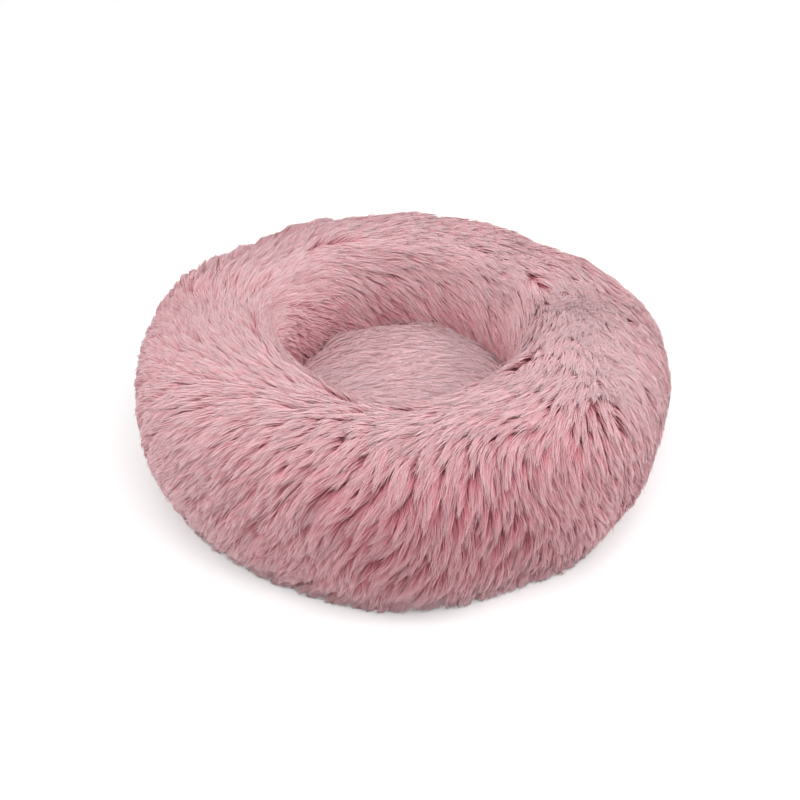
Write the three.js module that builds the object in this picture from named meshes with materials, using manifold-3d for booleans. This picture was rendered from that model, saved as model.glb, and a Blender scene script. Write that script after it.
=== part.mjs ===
// Round donut pet bed: a plump fur ring round a crowned cushion, over a quilted base that a zip opens.
// Millimetres, +Z up. The origin is on the floor under the middle of the base, and the front is -Y.

import * as THREE from 'three';
import { mergeVertices } from 'three/addons/utils/BufferGeometryUtils.js';
import Module from 'manifold-3d';

const wasm = await Module();
wasm.setup();

// Driving dimensions of the fur surface
const bedRadius = 271;
const bedHeight = 215;
const bellyHeight = 118;
const baseRadius = 220;
const coverFootHeight = 3;
const crestRadius = 166;
const crestShift = 13;
const nestRadius = 127;
const nestShift = 20;
const creviceHeight = 106;
const nestSeamHeight = 86;
const cushionCrownHeight = 138;

// How far the plump ring leaves a plain round: swellings of its outline and crest, and its folds
const outlineLobeShares = [
  { at: 172, spread: 34, share: 0.084 },
  { at: 6, spread: 34, share: 0.087 },
  { at: 148, spread: 18, share: 0.03 },
  { at: 205, spread: 18, share: 0.044 },
  { at: 232, spread: 20, share: 0.012 },
  { at: 272, spread: 18, share: 0.058 },
  { at: 318, spread: 20, share: 0.046 },
  { at: 92, spread: 34, share: 0.028 },
];
const crestLobeShares = [
  { at: 268, spread: 34, share: -0.055 },
  { at: 216, spread: 32, share: 0.02 },
  { at: 326, spread: 30, share: 0.012 },
  { at: 60, spread: 30, share: -0.045 },
];
const ringFoldShares = [
  { at: 18, spread: 11, share: 0.055 },
  { at: 162, spread: 12, share: 0.04 },
  { at: 99, spread: 11, share: 0.03 },
];
const footFollowShare = 0.75;

// The tufts that the pile lies in on the ring's outside, slanting down clockwise as it is combed: how
// far one swells and the hollow beside it sinks, how many stand round the ring and are crossed on the
// way up it, how much of them each stretch has, and how unevenly. They die out below the crest.
const tuftHeight = 5;
const tuftRoundCount = 40;
const tuftUpCount = 6.5;
const tuftLobeShares = [
  { at: 280, spread: 52, share: 0.8 },
  { at: 120, spread: 60, share: 0.35 },
];
const calmTuftShare = 0.2;
const unevenTuftShare = 0.85;
const unevenRoundCount = 11;
const unevenUpCount = 3;
const tuftedReachShare = 0.62;

// Roundness of the section's quarter arcs, where 2 is an ellipse
const undersideRoundness = 1.9;
const shoulderRoundness = 2.45;
const nestWallRoundness = 2.1;
const cushionRoundness = 2.4;

// Thicknesses of the soft layers, and the clearance at which one piece seats on another
const coverThickness = 18;
const cushionCoverThickness = 16;
const linerThickness = 1.2;
const cushionPlay = 0.6;
const seat = 0.3;
const cutOverrun = 1;

// Facets of the swept and turned forms
const ringSteps = 40;
const underSteps = 3;
const shoulderSteps = 5;
const nestWallSteps = 4;
const coverRows = 22;
const columnsPerStep = 3;
const coverFineness = 6;
const cushionSteps = 28;
const crownSteps = 5;

// The bolster and the cushion below the nest seam, where they press on each other
const squeezeOut = 9;
const squeezeHeight = 62;
const squeezeLow = 24;
const bolsterCorner = 14;
const bolsterHeel = 15;
const fillingSlitLength = 90;
const fillingSlitWidth = 6;
const fillingSlitRadius = 182;

// The seam tape under the nest's crevice
const seamTapeWidth = 22;
const seamTapeThickness = 2;

// The base: cloth with moulded grip dots, a quilted pad and the binding of the base seam
const clothThickness = 1;
const clothLap = 2;
const padThickness = 7;
const bindingWidth = 5;
const dotHeight = 1.5;
const dotRadius = 4;
const dotTipRadius = 3.2;
const dotPitch = 50;
const dotSides = 6;
const dotSink = 0.4;
const dotMargin = 2;

// The zip across the base
const zipLineShare = 0.52;
const zipEndRoom = 43;
const slotHalfWidth = 9;
const hemWidth = 8;
const hemHeight = 5.15;
const tapeReach = 17.5;
const tapeThickness = 0.5;
const toothPitch = 4.5;
const toothNeck = 1.3;
const toothHead = 2;
const toothTip = 1.5;
const toothEngage = 1.1;
const toothHeadAt = 0.4;
const beadNear = 2.2;
const beadFar = 3.4;
const chainThickness = 2.2;
const chainSpread = 2.8;

// The slider, its bail and its pull tab, and the stops
const sliderLength = 15;
const sliderMouth = 4;
const sliderFlare = 5;
const sliderWall = 1.1;
const sliderHeight = 4.4;
const chainPlay = 0.35;
const tapePlay = 0.35;
const wedgeLength = 4.6;
const wedgeHalfWidth = 1.2;
const wedgeSetBack = 0.6;
const sliderSetBack = 1;
const bailHalfLength = 3.5;
const bailInnerHalfLength = 2.2;
const bailWidth = 1.4;
const bailBar = 0.9;
const bailRoom = 1.7;
const tabThickness = 1.1;
const tabLength = 30;
const tabHalfWidth = 3.6;
const tabNeckHalfWidth = 2.6;
const tabEyeHalfWidth = 1.2;
const tabEyeLength = 4.9;
const tabHoleRadius = 1.5;
const tabRound = 1.6;
const stopLength = 3;
const stopWidth = 3.4;
const stopHeight = 3;
const stopGrip = 1.2;
const bottomStopLength = 5;
const bottomStopHalfWidth = 5.2;

// Levels above the floor
const clothBottom = dotHeight;
const clothTop = clothBottom + clothThickness;
const padBottom = clothTop + seat;
const padTop = padBottom + padThickness;
const linerFloor = padTop + seat;
const hemTop = clothBottom + hemHeight;
const tapeBottom = hemTop + seat;
const tapeMiddle = tapeBottom + tapeThickness / 2;
const sliderBottom = tapeMiddle - sliderHeight / 2;

// The zip's chain ends this far short of the base's edge, after a whole number of teeth
const zipLine = baseRadius * zipLineShare;
const zipReach = Math.sqrt(baseRadius ** 2 - zipLine ** 2) - zipEndRoom;
const toothCount = Math.floor(2 * zipReach / toothPitch);
const zipHalfLength = toothPitch * toothCount / 2;
const sliderFront = zipHalfLength - sliderSetBack;
const sliderRear = sliderFront - sliderLength;
const flareEnd = sliderFront - sliderMouth;
const flareStart = flareEnd - sliderFlare;

const fullTurn = 2 * Math.PI;
const quarterTurn = Math.PI / 2;

// Materials

function finish(colour, roughness, metalness = 0) {
  return new THREE.MeshStandardMaterial({ color: colour, roughness, metalness });
}

const furPink = finish(0xd6a3ac, 0.95);
const cushionPink = finish(0xdcb0b8, 0.95);
const linerWhite = finish(0xece9e4, 0.9);
const fibreWhite = finish(0xf6f5f2, 1);
const baseGrey = finish(0x8d8789, 0.75);
const padGrey = finish(0xd9d6d2, 0.95);
const tapeRose = finish(0xb98088, 0.85);
const zipNylon = finish(0xb27680, 0.5);
const zipMetal = finish(0xa7a5a2, 0.35, 1);

// Closed meshes and solids

function signedVolume(geometry) {
  const place = geometry.attributes.position;
  const index = geometry.index.array;
  const a = new THREE.Vector3();
  const b = new THREE.Vector3();
  const c = new THREE.Vector3();
  let sum = 0;
  for (let i = 0; i < index.length; i += 3) {
    a.fromBufferAttribute(place, index[i]);
    b.fromBufferAttribute(place, index[i + 1]);
    c.fromBufferAttribute(place, index[i + 2]);
    sum += a.dot(b.cross(c));
  }
  return sum;
}

function welded(geometry) {
  const copy = geometry.clone();
  copy.deleteAttribute('normal');
  copy.deleteAttribute('uv');
  const merged = mergeVertices(copy);
  if (signedVolume(merged) < 0) {
    const index = merged.index.array;
    for (let i = 0; i < index.length; i += 3) {
      [index[i + 1], index[i + 2]] = [index[i + 2], index[i + 1]];
    }
  }
  return merged;
}

function solid(geometry) {
  const mesh = welded(geometry);
  return new wasm.Manifold(new wasm.Mesh({
    numProp: 3,
    vertProperties: mesh.attributes.position.array,
    triVerts: new Uint32Array(mesh.index.array),
  }));
}

function surface(body) {
  const mesh = body.getMesh();
  const geometry = new THREE.BufferGeometry();
  geometry.setAttribute('position', new THREE.BufferAttribute(mesh.vertProperties, 3));
  geometry.setIndex(new THREE.BufferAttribute(mesh.triVerts, 1));
  geometry.computeVertexNormals();
  return geometry;
}

function block(low, high) {
  const size = new THREE.Vector3().subVectors(high, low);
  const geometry = new THREE.BoxGeometry(size.x, size.y, size.z);
  geometry.translate((low.x + high.x) / 2, (low.y + high.y) / 2, (low.z + high.z) / 2);
  return solid(geometry);
}

function plate(points, low, high, holes = []) {
  const shape = new THREE.Shape(points);
  shape.holes = holes.map((hole) => new THREE.Path(hole));
  const geometry = new THREE.ExtrudeGeometry(shape, { depth: high - low, bevelEnabled: false });
  geometry.translate(0, 0, low);
  return geometry;
}

const piece = new THREE.Group();
piece.name = 'donut_pet_bed';

function add(name, geometry, material, place = new THREE.Vector3()) {
  const mesh = new THREE.Mesh(geometry, material);
  mesh.name = name;
  mesh.position.copy(place);
  piece.add(mesh);
  return mesh;
}

// The ring's form

function lobeSum(angle, lobes) {
  return lobes.reduce((sum, { at, spread, share }) => {
    const away = THREE.MathUtils.euclideanModulo(angle - THREE.MathUtils.degToRad(at) + Math.PI, fullTurn) - Math.PI;
    return sum + share * Math.exp(-((away / THREE.MathUtils.degToRad(spread)) ** 2));
  }, 0);
}

// Distance from the origin to a circle whose centre lies behind it
function shiftedRadius(angle, radius, shift) {
  return shift * Math.sin(angle) + Math.sqrt(radius ** 2 - (shift * Math.cos(angle)) ** 2);
}

function footRadius(angle) {
  return baseRadius + footFollowShare * bedRadius * lobeSum(angle, outlineLobeShares);
}

function nestWallRadius(angle) {
  return shiftedRadius(angle, nestRadius, nestShift);
}

// A point on a quarter of a rounded square, from straight across to straight up
function quarterArc(step, steps, roundness) {
  const turn = quarterTurn * step / steps;
  const across = step === steps ? 0 : Math.cos(turn);
  const up = Math.sin(turn);
  const reach = (across ** roundness + up ** roundness) ** (1 / roundness);
  return { across: across / reach, up: up / reach };
}

// The fur surface in one section, from the base seam over the crest to the nest seam
function furCurve(angle, fineness = 1) {
  const under = underSteps * fineness;
  const shoulder = shoulderSteps * fineness;
  const nestWall = nestWallSteps * fineness;
  const fold = lobeSum(angle, ringFoldShares);
  const outer = bedRadius * (1 + lobeSum(angle, outlineLobeShares));
  const top = bedHeight * (1 + lobeSum(angle, crestLobeShares) - fold);
  const foot = footRadius(angle);
  const crest = shiftedRadius(angle, crestRadius, crestShift);
  const nest = nestWallRadius(angle);
  const points = [];
  for (let i = under; i > 0; i -= 1) {
    const { across, up } = quarterArc(i, under, undersideRoundness);
    points.push(new THREE.Vector2(
      foot + (outer - foot) * across,
      bellyHeight - (bellyHeight - coverFootHeight) * up,
    ));
  }
  for (let i = 0; i < shoulder; i += 1) {
    const { across, up } = quarterArc(i, shoulder, shoulderRoundness);
    points.push(new THREE.Vector2(crest + (outer - crest) * across, bellyHeight + (top - bellyHeight) * up));
  }
  for (let i = nestWall; i >= 0; i -= 1) {
    const { across, up } = quarterArc(i, nestWall, nestWallRoundness);
    const drawn = fold * bedHeight * up * across;
    points.push(new THREE.Vector2(crest - (crest - nest) * across + drawn, creviceHeight + (top - creviceHeight) * up));
  }
  points.push(new THREE.Vector2(nest, nestSeamHeight));
  return points;
}

// A loop moved inward by mitred corners. An open curve's ends move straight up and straight out.
function inset(points, depth, closed = true) {
  const count = points.length;
  return points.map((point, i) => {
    const into = new THREE.Vector2().subVectors(point, points[(i + count - 1) % count]).normalize();
    const out = new THREE.Vector2().subVectors(points[(i + 1) % count], point).normalize();
    if (!closed && i === 0) {
      into.set(1, 0);
      out.set(1, 0);
    }
    if (!closed && i === count - 1) {
      out.copy(into);
    }
    const mitre = 1 + into.dot(out);
    return new THREE.Vector2(
      point.x - depth * (into.y + out.y) / mitre,
      point.y + depth * (into.x + out.x) / mitre,
    );
  });
}

// A closed section carried round the bed, which may change with the angle
function sweptRing(sectionAt) {
  const places = [];
  const faces = [];
  let count = 0;
  for (let j = 0; j < ringSteps; j += 1) {
    const angle = fullTurn * j / ringSteps;
    const section = sectionAt(angle);
    count = section.length;
    section.forEach(({ x, y }) => places.push(x * Math.cos(angle), x * Math.sin(angle), y));
  }
  for (let j = 0; j < ringSteps; j += 1) {
    for (let i = 0; i < count; i += 1) {
      const a = j * count + i;
      const b = j * count + (i + 1) % count;
      const c = ((j + 1) % ringSteps) * count + i;
      const d = ((j + 1) % ringSteps) * count + (i + 1) % count;
      faces.push(a, c, b, b, c, d);
    }
  }
  const geometry = new THREE.BufferGeometry();
  geometry.setAttribute('position', new THREE.Float32BufferAttribute(places, 3));
  geometry.setIndex(faces);
  return welded(geometry);
}

// Points at even steps along a curve
function evenly(points, steps) {
  const along = [0];
  points.slice(1).forEach((point, i) => along.push(along[i] + point.distanceTo(points[i])));
  const found = [];
  for (let k = 0; k <= steps; k += 1) {
    const at = along[along.length - 1] * k / steps;
    const i = Math.min(along.findIndex((reach) => reach > at), points.length) - 1;
    const last = k === steps ? points.length - 2 : i;
    const part = (at - along[last]) / (along[last + 1] - along[last]);
    found.push(points[last].clone().lerp(points[last + 1], k === steps ? 1 : part));
  }
  return found;
}

// How far the pile swells at an angle and a share of the way up the section
function tuftShare(angle, up) {
  const kept = Math.min(calmTuftShare + lobeSum(angle, tuftLobeShares), 1);
  const faded = Math.sin(Math.PI * Math.min(up / tuftedReachShare, 1));
  const uneven = 1 - unevenTuftShare * (1 + Math.sin(unevenRoundCount * angle + fullTurn * unevenUpCount * up)) / 2;
  return kept * faded * uneven * Math.cos(tuftRoundCount * angle - fullTurn * tuftUpCount * up);
}

function tuftedCurve(angle) {
  const smooth = evenly(furCurve(angle, coverFineness), coverRows);
  const sunk = inset(smooth, tuftHeight, false);
  return smooth.map((point, row) => point.lerp(sunk[row], -tuftShare(angle, row / coverRows)));
}

// The cover's tufted outside has several columns of facets to each step of its plain lining
function coverBody() {
  const places = [];
  const faces = [];
  function column(angle, points) {
    points.forEach(({ x, y }) => places.push(x * Math.cos(angle), x * Math.sin(angle), y));
  }
  const columns = ringSteps * columnsPerStep;
  for (let j = 0; j < columns; j += 1) {
    const angle = fullTurn * j / columns;
    column(angle, tuftedCurve(angle));
  }
  for (let j = 0; j < ringSteps; j += 1) {
    const angle = fullTurn * j / ringSteps;
    column(angle, inset(furCurve(angle), coverThickness, false));
  }
  const rows = coverRows + 1;
  const liningRows = furCurve(0).length;
  const outer = (j, i) => (j % columns) * rows + i;
  const inner = (j, i) => columns * rows + (j % ringSteps) * liningRows + i;
  for (let j = 0; j < columns; j += 1) {
    for (let i = 0; i < coverRows; i += 1) {
      faces.push(outer(j, i), outer(j + 1, i), outer(j + 1, i + 1));
      faces.push(outer(j, i), outer(j + 1, i + 1), outer(j, i + 1));
    }
  }
  for (let j = 0; j < ringSteps; j += 1) {
    for (let i = 0; i < liningRows - 1; i += 1) {
      faces.push(inner(j, i), inner(j, i + 1), inner(j + 1, i));
      faces.push(inner(j, i + 1), inner(j + 1, i + 1), inner(j + 1, i));
    }
    for (const [row, liningRow, upper] of [[0, 0, false], [coverRows, liningRows - 1, true]]) {
      const edge = (k) => outer(columnsPerStep * j + k, row);
      const middle = Math.floor(columnsPerStep / 2);
      const strip = [[edge(middle), inner(j + 1, liningRow), inner(j, liningRow)]];
      for (let k = 0; k < columnsPerStep; k += 1) {
        strip.push([edge(k), edge(k + 1), inner(k < middle ? j : j + 1, liningRow)]);
      }
      strip.forEach(([p, q, r]) => faces.push(...(upper ? [p, q, r] : [p, r, q])));
    }
  }
  const geometry = new THREE.BufferGeometry();
  geometry.setAttribute('position', new THREE.Float32BufferAttribute(places, 3));
  geometry.setIndex(faces);
  return welded(geometry);
}

function bolsterSection(angle) {
  const nest = nestWallRadius(angle);
  const foot = footRadius(angle);
  return [
    ...inset(furCurve(angle), coverThickness + seat, false),
    new THREE.Vector2(nest + squeezeOut, squeezeHeight),
    new THREE.Vector2(nest + squeezeOut, squeezeLow),
    new THREE.Vector2(nest + squeezeOut + bolsterCorner, linerFloor),
    new THREE.Vector2(foot - bolsterHeel, linerFloor),
  ];
}

function fillingSlit(radius, length, width, floor) {
  return block(
    new THREE.Vector3(-length / 2, -radius - width / 2, floor - linerThickness / 2),
    new THREE.Vector3(length / 2, -radius + width / 2, floor + linerThickness + seat / 2),
  );
}

add('ring_fur_cover', coverBody(), furPink);

const bolsterOutside = solid(sweptRing(bolsterSection));
const bolsterInside = solid(sweptRing((angle) => inset(bolsterSection(angle), linerThickness)));
const bolsterLiner = bolsterOutside
  .subtract(bolsterInside)
  .subtract(fillingSlit(fillingSlitRadius, fillingSlitLength, fillingSlitWidth, linerFloor));
add('ring_liner', surface(bolsterLiner), linerWhite);
add('ring_fibre_fill', sweptRing((angle) => inset(bolsterSection(angle), linerThickness + seat)), fibreWhite);

// The centre cushion, turned about the nest's own axis

const cushionRadius = nestRadius - cushionPlay;
const nestCentre = new THREE.Vector3(0, nestShift, 0);

function turned(points) {
  return new THREE.LatheGeometry(points, cushionSteps).rotateX(quarterTurn);
}

// From the seam's edge over the crown to the axis
function crownCurve(radius, low, high) {
  const points = [];
  for (let i = 0; i <= crownSteps; i += 1) {
    const { across, up } = quarterArc(i, crownSteps, cushionRoundness);
    points.push(new THREE.Vector2(i === crownSteps ? 0 : radius * across, low + (high - low) * up));
  }
  return points;
}

function cushionBody(drawnIn) {
  const rim = nestRadius + squeezeOut - seat - cushionPlay - drawnIn;
  const wall = cushionCoverThickness + seat + drawnIn;
  return [
    new THREE.Vector2(0, linerFloor + drawnIn),
    new THREE.Vector2(rim - bolsterCorner, linerFloor + drawnIn),
    new THREE.Vector2(rim, squeezeLow),
    new THREE.Vector2(rim, squeezeHeight),
    ...crownCurve(cushionRadius - wall, nestSeamHeight, cushionCrownHeight - wall),
  ];
}

const coverUnderside = crownCurve(
  cushionRadius - cushionCoverThickness,
  nestSeamHeight,
  cushionCrownHeight - cushionCoverThickness,
);
const cushionCoverLoop = [
  ...crownCurve(cushionRadius, nestSeamHeight, cushionCrownHeight),
  ...coverUnderside.reverse(),
  new THREE.Vector2(cushionRadius, nestSeamHeight),
];
add('cushion_fur_cover', welded(turned(cushionCoverLoop)), cushionPink, nestCentre);

const cushionLiner = solid(turned(cushionBody(0)))
  .subtract(solid(turned(cushionBody(linerThickness))))
  .subtract(fillingSlit(cushionRadius / 2, fillingSlitLength, fillingSlitWidth, linerFloor));
add('cushion_liner', surface(cushionLiner), linerWhite, nestCentre);
add('cushion_fibre_fill', welded(turned(cushionBody(linerThickness + seat))), fibreWhite, nestCentre);

// The tape that sews the ring's cover to the cushion's, under the crevice
const seamTapeTop = nestSeamHeight - seat;
add('nest_seam_tape', sweptRing((angle) => {
  const middle = nestWallRadius(angle);
  return [
    new THREE.Vector2(middle - seamTapeWidth / 2, seamTapeTop - seamTapeThickness),
    new THREE.Vector2(middle + seamTapeWidth / 2, seamTapeTop - seamTapeThickness),
    new THREE.Vector2(middle + seamTapeWidth / 2, seamTapeTop),
    new THREE.Vector2(middle - seamTapeWidth / 2, seamTapeTop),
  ];
}), tapeRose);

// The base seam's binding stands on the edge of the base cloth, inside the fur cover
add('base_seam_binding', sweptRing((angle) => {
  const edge = footRadius(angle) - seat;
  return [
    new THREE.Vector2(edge - bindingWidth, padBottom),
    new THREE.Vector2(edge, padBottom),
    new THREE.Vector2(edge, padTop),
    new THREE.Vector2(edge - bindingWidth, padTop),
  ];
}), tapeRose);

// The base cloth and pad, each in two panels that the zip joins

function baseOutline(grow) {
  const points = [];
  for (let i = 0; i < ringSteps; i += 1) {
    const angle = fullTurn * i / ringSteps;
    const radius = footRadius(angle) + grow;
    points.push(new THREE.Vector2(radius * Math.cos(angle), radius * Math.sin(angle)));
  }
  return points;
}

// What lies in front of the zip, or behind it, at least this far from its line
function sideOfZip(side, away, low, high) {
  const far = bedRadius * 2;
  const near = zipLine + side * away;
  return block(
    new THREE.Vector3(-far, Math.min(near, side * far), low),
    new THREE.Vector3(far, Math.max(near, side * far), high),
  );
}

function halfChord(radius, y) {
  return Math.sqrt(radius ** 2 - y ** 2);
}

const innerBaseRadius = baseRadius - bindingWidth - seat * 3;

function hemBar(side) {
  const near = zipLine + side * slotHalfWidth;
  const far = zipLine + side * (slotHalfWidth + hemWidth);
  const reach = halfChord(innerBaseRadius, Math.max(near, far));
  return block(
    new THREE.Vector3(-reach, Math.min(near, far), clothBottom),
    new THREE.Vector3(reach, Math.max(near, far), hemTop),
  );
}

function gripDots(side) {
  const rowPitch = dotPitch * Math.sin(fullTurn / dotSides);
  const rows = Math.ceil(bedRadius / rowPitch);
  const columns = Math.ceil(bedRadius / dotPitch) + 1;
  const dots = [];
  for (let row = -rows; row <= rows; row += 1) {
    for (let column = -columns; column <= columns; column += 1) {
      const x = (column + (Math.abs(row) % 2) / 2) * dotPitch;
      const y = row * rowPitch;
      const room = dotRadius + dotMargin;
      const inside = Math.hypot(x, y) < footRadius(Math.atan2(y, x)) - room;
      if (inside && side * (y - zipLine) > slotHalfWidth + room) {
        const dot = new THREE.CylinderGeometry(dotRadius, dotTipRadius, dotHeight + dotSink, dotSides);
        dot.rotateX(quarterTurn);
        dot.translate(x, y, (dotHeight + dotSink) / 2);
        dots.push(solid(dot));
      }
    }
  }
  return dots;
}

function basePanel(side) {
  const cloth = solid(plate(baseOutline(clothLap), clothBottom, clothTop))
    .intersect(sideOfZip(side, slotHalfWidth, 0, padTop));
  return wasm.Manifold.union([cloth, hemBar(side), ...gripDots(side)]);
}

function basePad(side) {
  return solid(plate(baseOutline(-bindingWidth - seat * 2), padBottom, padTop))
    .intersect(sideOfZip(side, tapeReach + seat * 2, 0, linerFloor));
}

for (const [name, side] of [['front', -1], ['rear', 1]]) {
  add(`base_cloth_${name}`, surface(basePanel(side)), baseGrey);
  add(`base_pad_${name}`, surface(basePad(side)), padGrey);
}

// The zip's tapes and tooth rows, which part round the slider's wedge

function partedBy(x) {
  return chainSpread * THREE.MathUtils.clamp((x - flareStart) / sliderFlare, 0, 1);
}

const zipPlace = new THREE.Vector3(0, zipLine, 0);
const tapeHalfLength = halfChord(innerBaseRadius, zipLine + tapeReach);

// An outline drawn for the rear row, turned over for the front one
function onSide(side, points) {
  return side > 0 ? points : points.map(({ x, y }) => new THREE.Vector2(x, -y)).reverse();
}

function tapeOutline() {
  const inner = beadFar + seat;
  return [
    new THREE.Vector2(-tapeHalfLength, inner),
    new THREE.Vector2(flareStart, inner),
    new THREE.Vector2(flareEnd, inner + chainSpread),
    new THREE.Vector2(tapeHalfLength, inner + chainSpread),
    new THREE.Vector2(tapeHalfLength, tapeReach),
    new THREE.Vector2(-tapeHalfLength, tapeReach),
  ];
}

// One comb of flared teeth on its bead. The rows are half a pitch apart along the zip.
function toothRow(shift) {
  const points = [];
  for (let i = 0; i < toothCount; i += 1) {
    const x = -zipHalfLength + (i + shift) * toothPitch;
    const y = partedBy(x);
    points.push(
      new THREE.Vector2(x - toothNeck / 2, y + beadNear),
      new THREE.Vector2(x - toothHead / 2, y - toothHeadAt),
      new THREE.Vector2(x - toothTip / 2, y - toothEngage),
      new THREE.Vector2(x + toothTip / 2, y - toothEngage),
      new THREE.Vector2(x + toothHead / 2, y - toothHeadAt),
      new THREE.Vector2(x + toothNeck / 2, y + beadNear),
    );
  }
  return [
    new THREE.Vector2(-zipHalfLength, beadNear),
    ...points,
    new THREE.Vector2(zipHalfLength, beadNear + chainSpread),
    new THREE.Vector2(zipHalfLength, beadFar + chainSpread),
    new THREE.Vector2(flareEnd, beadFar + chainSpread),
    new THREE.Vector2(flareStart, beadFar),
    new THREE.Vector2(-zipHalfLength, beadFar),
  ];
}

for (const [name, side, shift] of [['front', -1, 0.25], ['rear', 1, 0.75]]) {
  const tape = plate(onSide(side, tapeOutline()), tapeBottom, tapeBottom + tapeThickness);
  add(`zip_tape_${name}`, welded(tape), tapeRose, zipPlace);
  const chainBottom = tapeMiddle - chainThickness / 2;
  const teeth = plate(onSide(side, toothRow(shift)), chainBottom, chainBottom + chainThickness);
  add(`zip_teeth_${name}`, welded(teeth), zipNylon, zipPlace);
}

// The stops clamp the tapes at the two ends of the chain

function tapeSlot(low, high) {
  return block(
    new THREE.Vector3(-tapeHalfLength, low, tapeBottom - seat),
    new THREE.Vector3(tapeHalfLength, high, tapeBottom + tapeThickness + seat),
  );
}

function topStop(side) {
  const grip = beadFar + seat + chainSpread;
  const clamp = block(
    new THREE.Vector3(zipHalfLength + seat, grip + stopGrip - stopWidth, tapeMiddle - stopHeight / 2),
    new THREE.Vector3(zipHalfLength + seat + stopLength, grip + stopGrip, tapeMiddle + stopHeight / 2),
  );
  const stop = clamp.subtract(tapeSlot(grip - seat, tapeReach));
  return side > 0 ? surface(stop) : surface(stop.mirror([0, 1, 0]));
}

add('zip_top_stop_front', topStop(-1), zipMetal, zipPlace);
add('zip_top_stop_rear', topStop(1), zipMetal, zipPlace);

const bottomStop = block(
  new THREE.Vector3(-zipHalfLength - seat - bottomStopLength, -bottomStopHalfWidth, tapeMiddle - stopHeight / 2),
  new THREE.Vector3(-zipHalfLength - seat, bottomStopHalfWidth, tapeMiddle + stopHeight / 2),
)
  .subtract(tapeSlot(beadFar, tapeReach))
  .subtract(tapeSlot(-tapeReach, -beadFar));
add('zip_bottom_stop', surface(bottomStop), zipMetal, zipPlace);

// The slider: two plates joined by a wedge, with side walls that keep the chain in and let the tapes out

function sliderOutline(halfWidth, overrun) {
  const wide = halfWidth + chainSpread;
  return [
    new THREE.Vector2(sliderRear - overrun, -halfWidth),
    new THREE.Vector2(flareStart, -halfWidth),
    new THREE.Vector2(flareEnd, -wide),
    new THREE.Vector2(sliderFront + overrun, -wide),
    new THREE.Vector2(sliderFront + overrun, wide),
    new THREE.Vector2(flareEnd, wide),
    new THREE.Vector2(flareStart, halfWidth),
    new THREE.Vector2(sliderRear - overrun, halfWidth),
  ];
}

const channelHalfWidth = beadFar + chainPlay;
const channelHalfHeight = chainThickness / 2 + chainPlay / 2;
const sliderTop = sliderBottom + sliderHeight;
const wedgeFront = sliderFront - wedgeSetBack;
const wedgeOutline = [
  new THREE.Vector2(wedgeFront - wedgeLength, 0),
  new THREE.Vector2(wedgeFront - wedgeLength / 3, -wedgeHalfWidth),
  new THREE.Vector2(wedgeFront, -wedgeHalfWidth / 2),
  new THREE.Vector2(wedgeFront, wedgeHalfWidth / 2),
  new THREE.Vector2(wedgeFront - wedgeLength / 3, wedgeHalfWidth),
];
const channel = plate(
  sliderOutline(channelHalfWidth, cutOverrun),
  tapeMiddle - channelHalfHeight,
  tapeMiddle + channelHalfHeight,
);
const tapeGap = plate(
  sliderOutline(channelHalfWidth + sliderWall + cutOverrun, cutOverrun),
  tapeBottom - tapePlay,
  tapeBottom + tapeThickness + tapePlay,
);

// The bail under the slider, in which the pull tab's end bar hangs
const bailMiddle = (sliderFront + sliderRear) / 2;
const bailDrop = bailRoom + bailBar;
const pivotHeight = sliderBottom - bailRoom / 2;

function bail() {
  const post = new THREE.Vector3(bailHalfLength - bailInnerHalfLength, bailWidth, bailDrop + cutOverrun / 2);
  const posts = [-1, 1].map((end) => {
    const inner = bailMiddle + end * bailInnerHalfLength;
    const outer = bailMiddle + end * bailHalfLength;
    return block(
      new THREE.Vector3(Math.min(inner, outer), -post.y / 2, sliderBottom - bailDrop),
      new THREE.Vector3(Math.max(inner, outer), post.y / 2, sliderBottom - bailDrop + post.z),
    );
  });
  const bar = block(
    new THREE.Vector3(bailMiddle - bailHalfLength, -bailWidth / 2, sliderBottom - bailDrop),
    new THREE.Vector3(bailMiddle + bailHalfLength, bailWidth / 2, sliderBottom - bailRoom),
  );
  return wasm.Manifold.union([bar, ...posts]);
}

const slider = solid(plate(sliderOutline(channelHalfWidth + sliderWall, 0), sliderBottom, sliderTop))
  .subtract(solid(channel))
  .subtract(solid(tapeGap))
  .add(solid(plate(wedgeOutline, sliderBottom + sliderWall / 2, sliderTop - sliderWall / 2)))
  .add(bail());
add('zip_slider', surface(slider), zipMetal, zipPlace);

// The pull tab lies back along the chain from its end bar
function tabOutline() {
  const shape = new THREE.Shape();
  const end = tabThickness / 2;
  shape.moveTo(end, -tabNeckHalfWidth);
  shape.lineTo(end, tabNeckHalfWidth);
  shape.lineTo(-tabLength / 2, tabNeckHalfWidth);
  shape.lineTo(-tabLength * 2 / 3, tabHalfWidth);
  shape.lineTo(-tabLength + tabRound, tabHalfWidth);
  shape.quadraticCurveTo(-tabLength, tabHalfWidth, -tabLength, tabHalfWidth - tabRound);
  shape.lineTo(-tabLength, -tabHalfWidth + tabRound);
  shape.quadraticCurveTo(-tabLength, -tabHalfWidth, -tabLength + tabRound, -tabHalfWidth);
  shape.lineTo(-tabLength * 2 / 3, -tabHalfWidth);
  shape.lineTo(-tabLength / 2, -tabNeckHalfWidth);
  shape.closePath();
  const eye = new THREE.Path();
  eye.moveTo(-end, -tabEyeHalfWidth);
  eye.lineTo(-end - tabEyeLength, -tabEyeHalfWidth);
  eye.lineTo(-end - tabEyeLength, tabEyeHalfWidth);
  eye.lineTo(-end, tabEyeHalfWidth);
  eye.closePath();
  const hole = new THREE.Path();
  hole.absarc(-tabLength + tabHalfWidth, 0, tabHoleRadius, 0, fullTurn, true);
  shape.holes.push(eye, hole);
  return shape;
}

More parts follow.
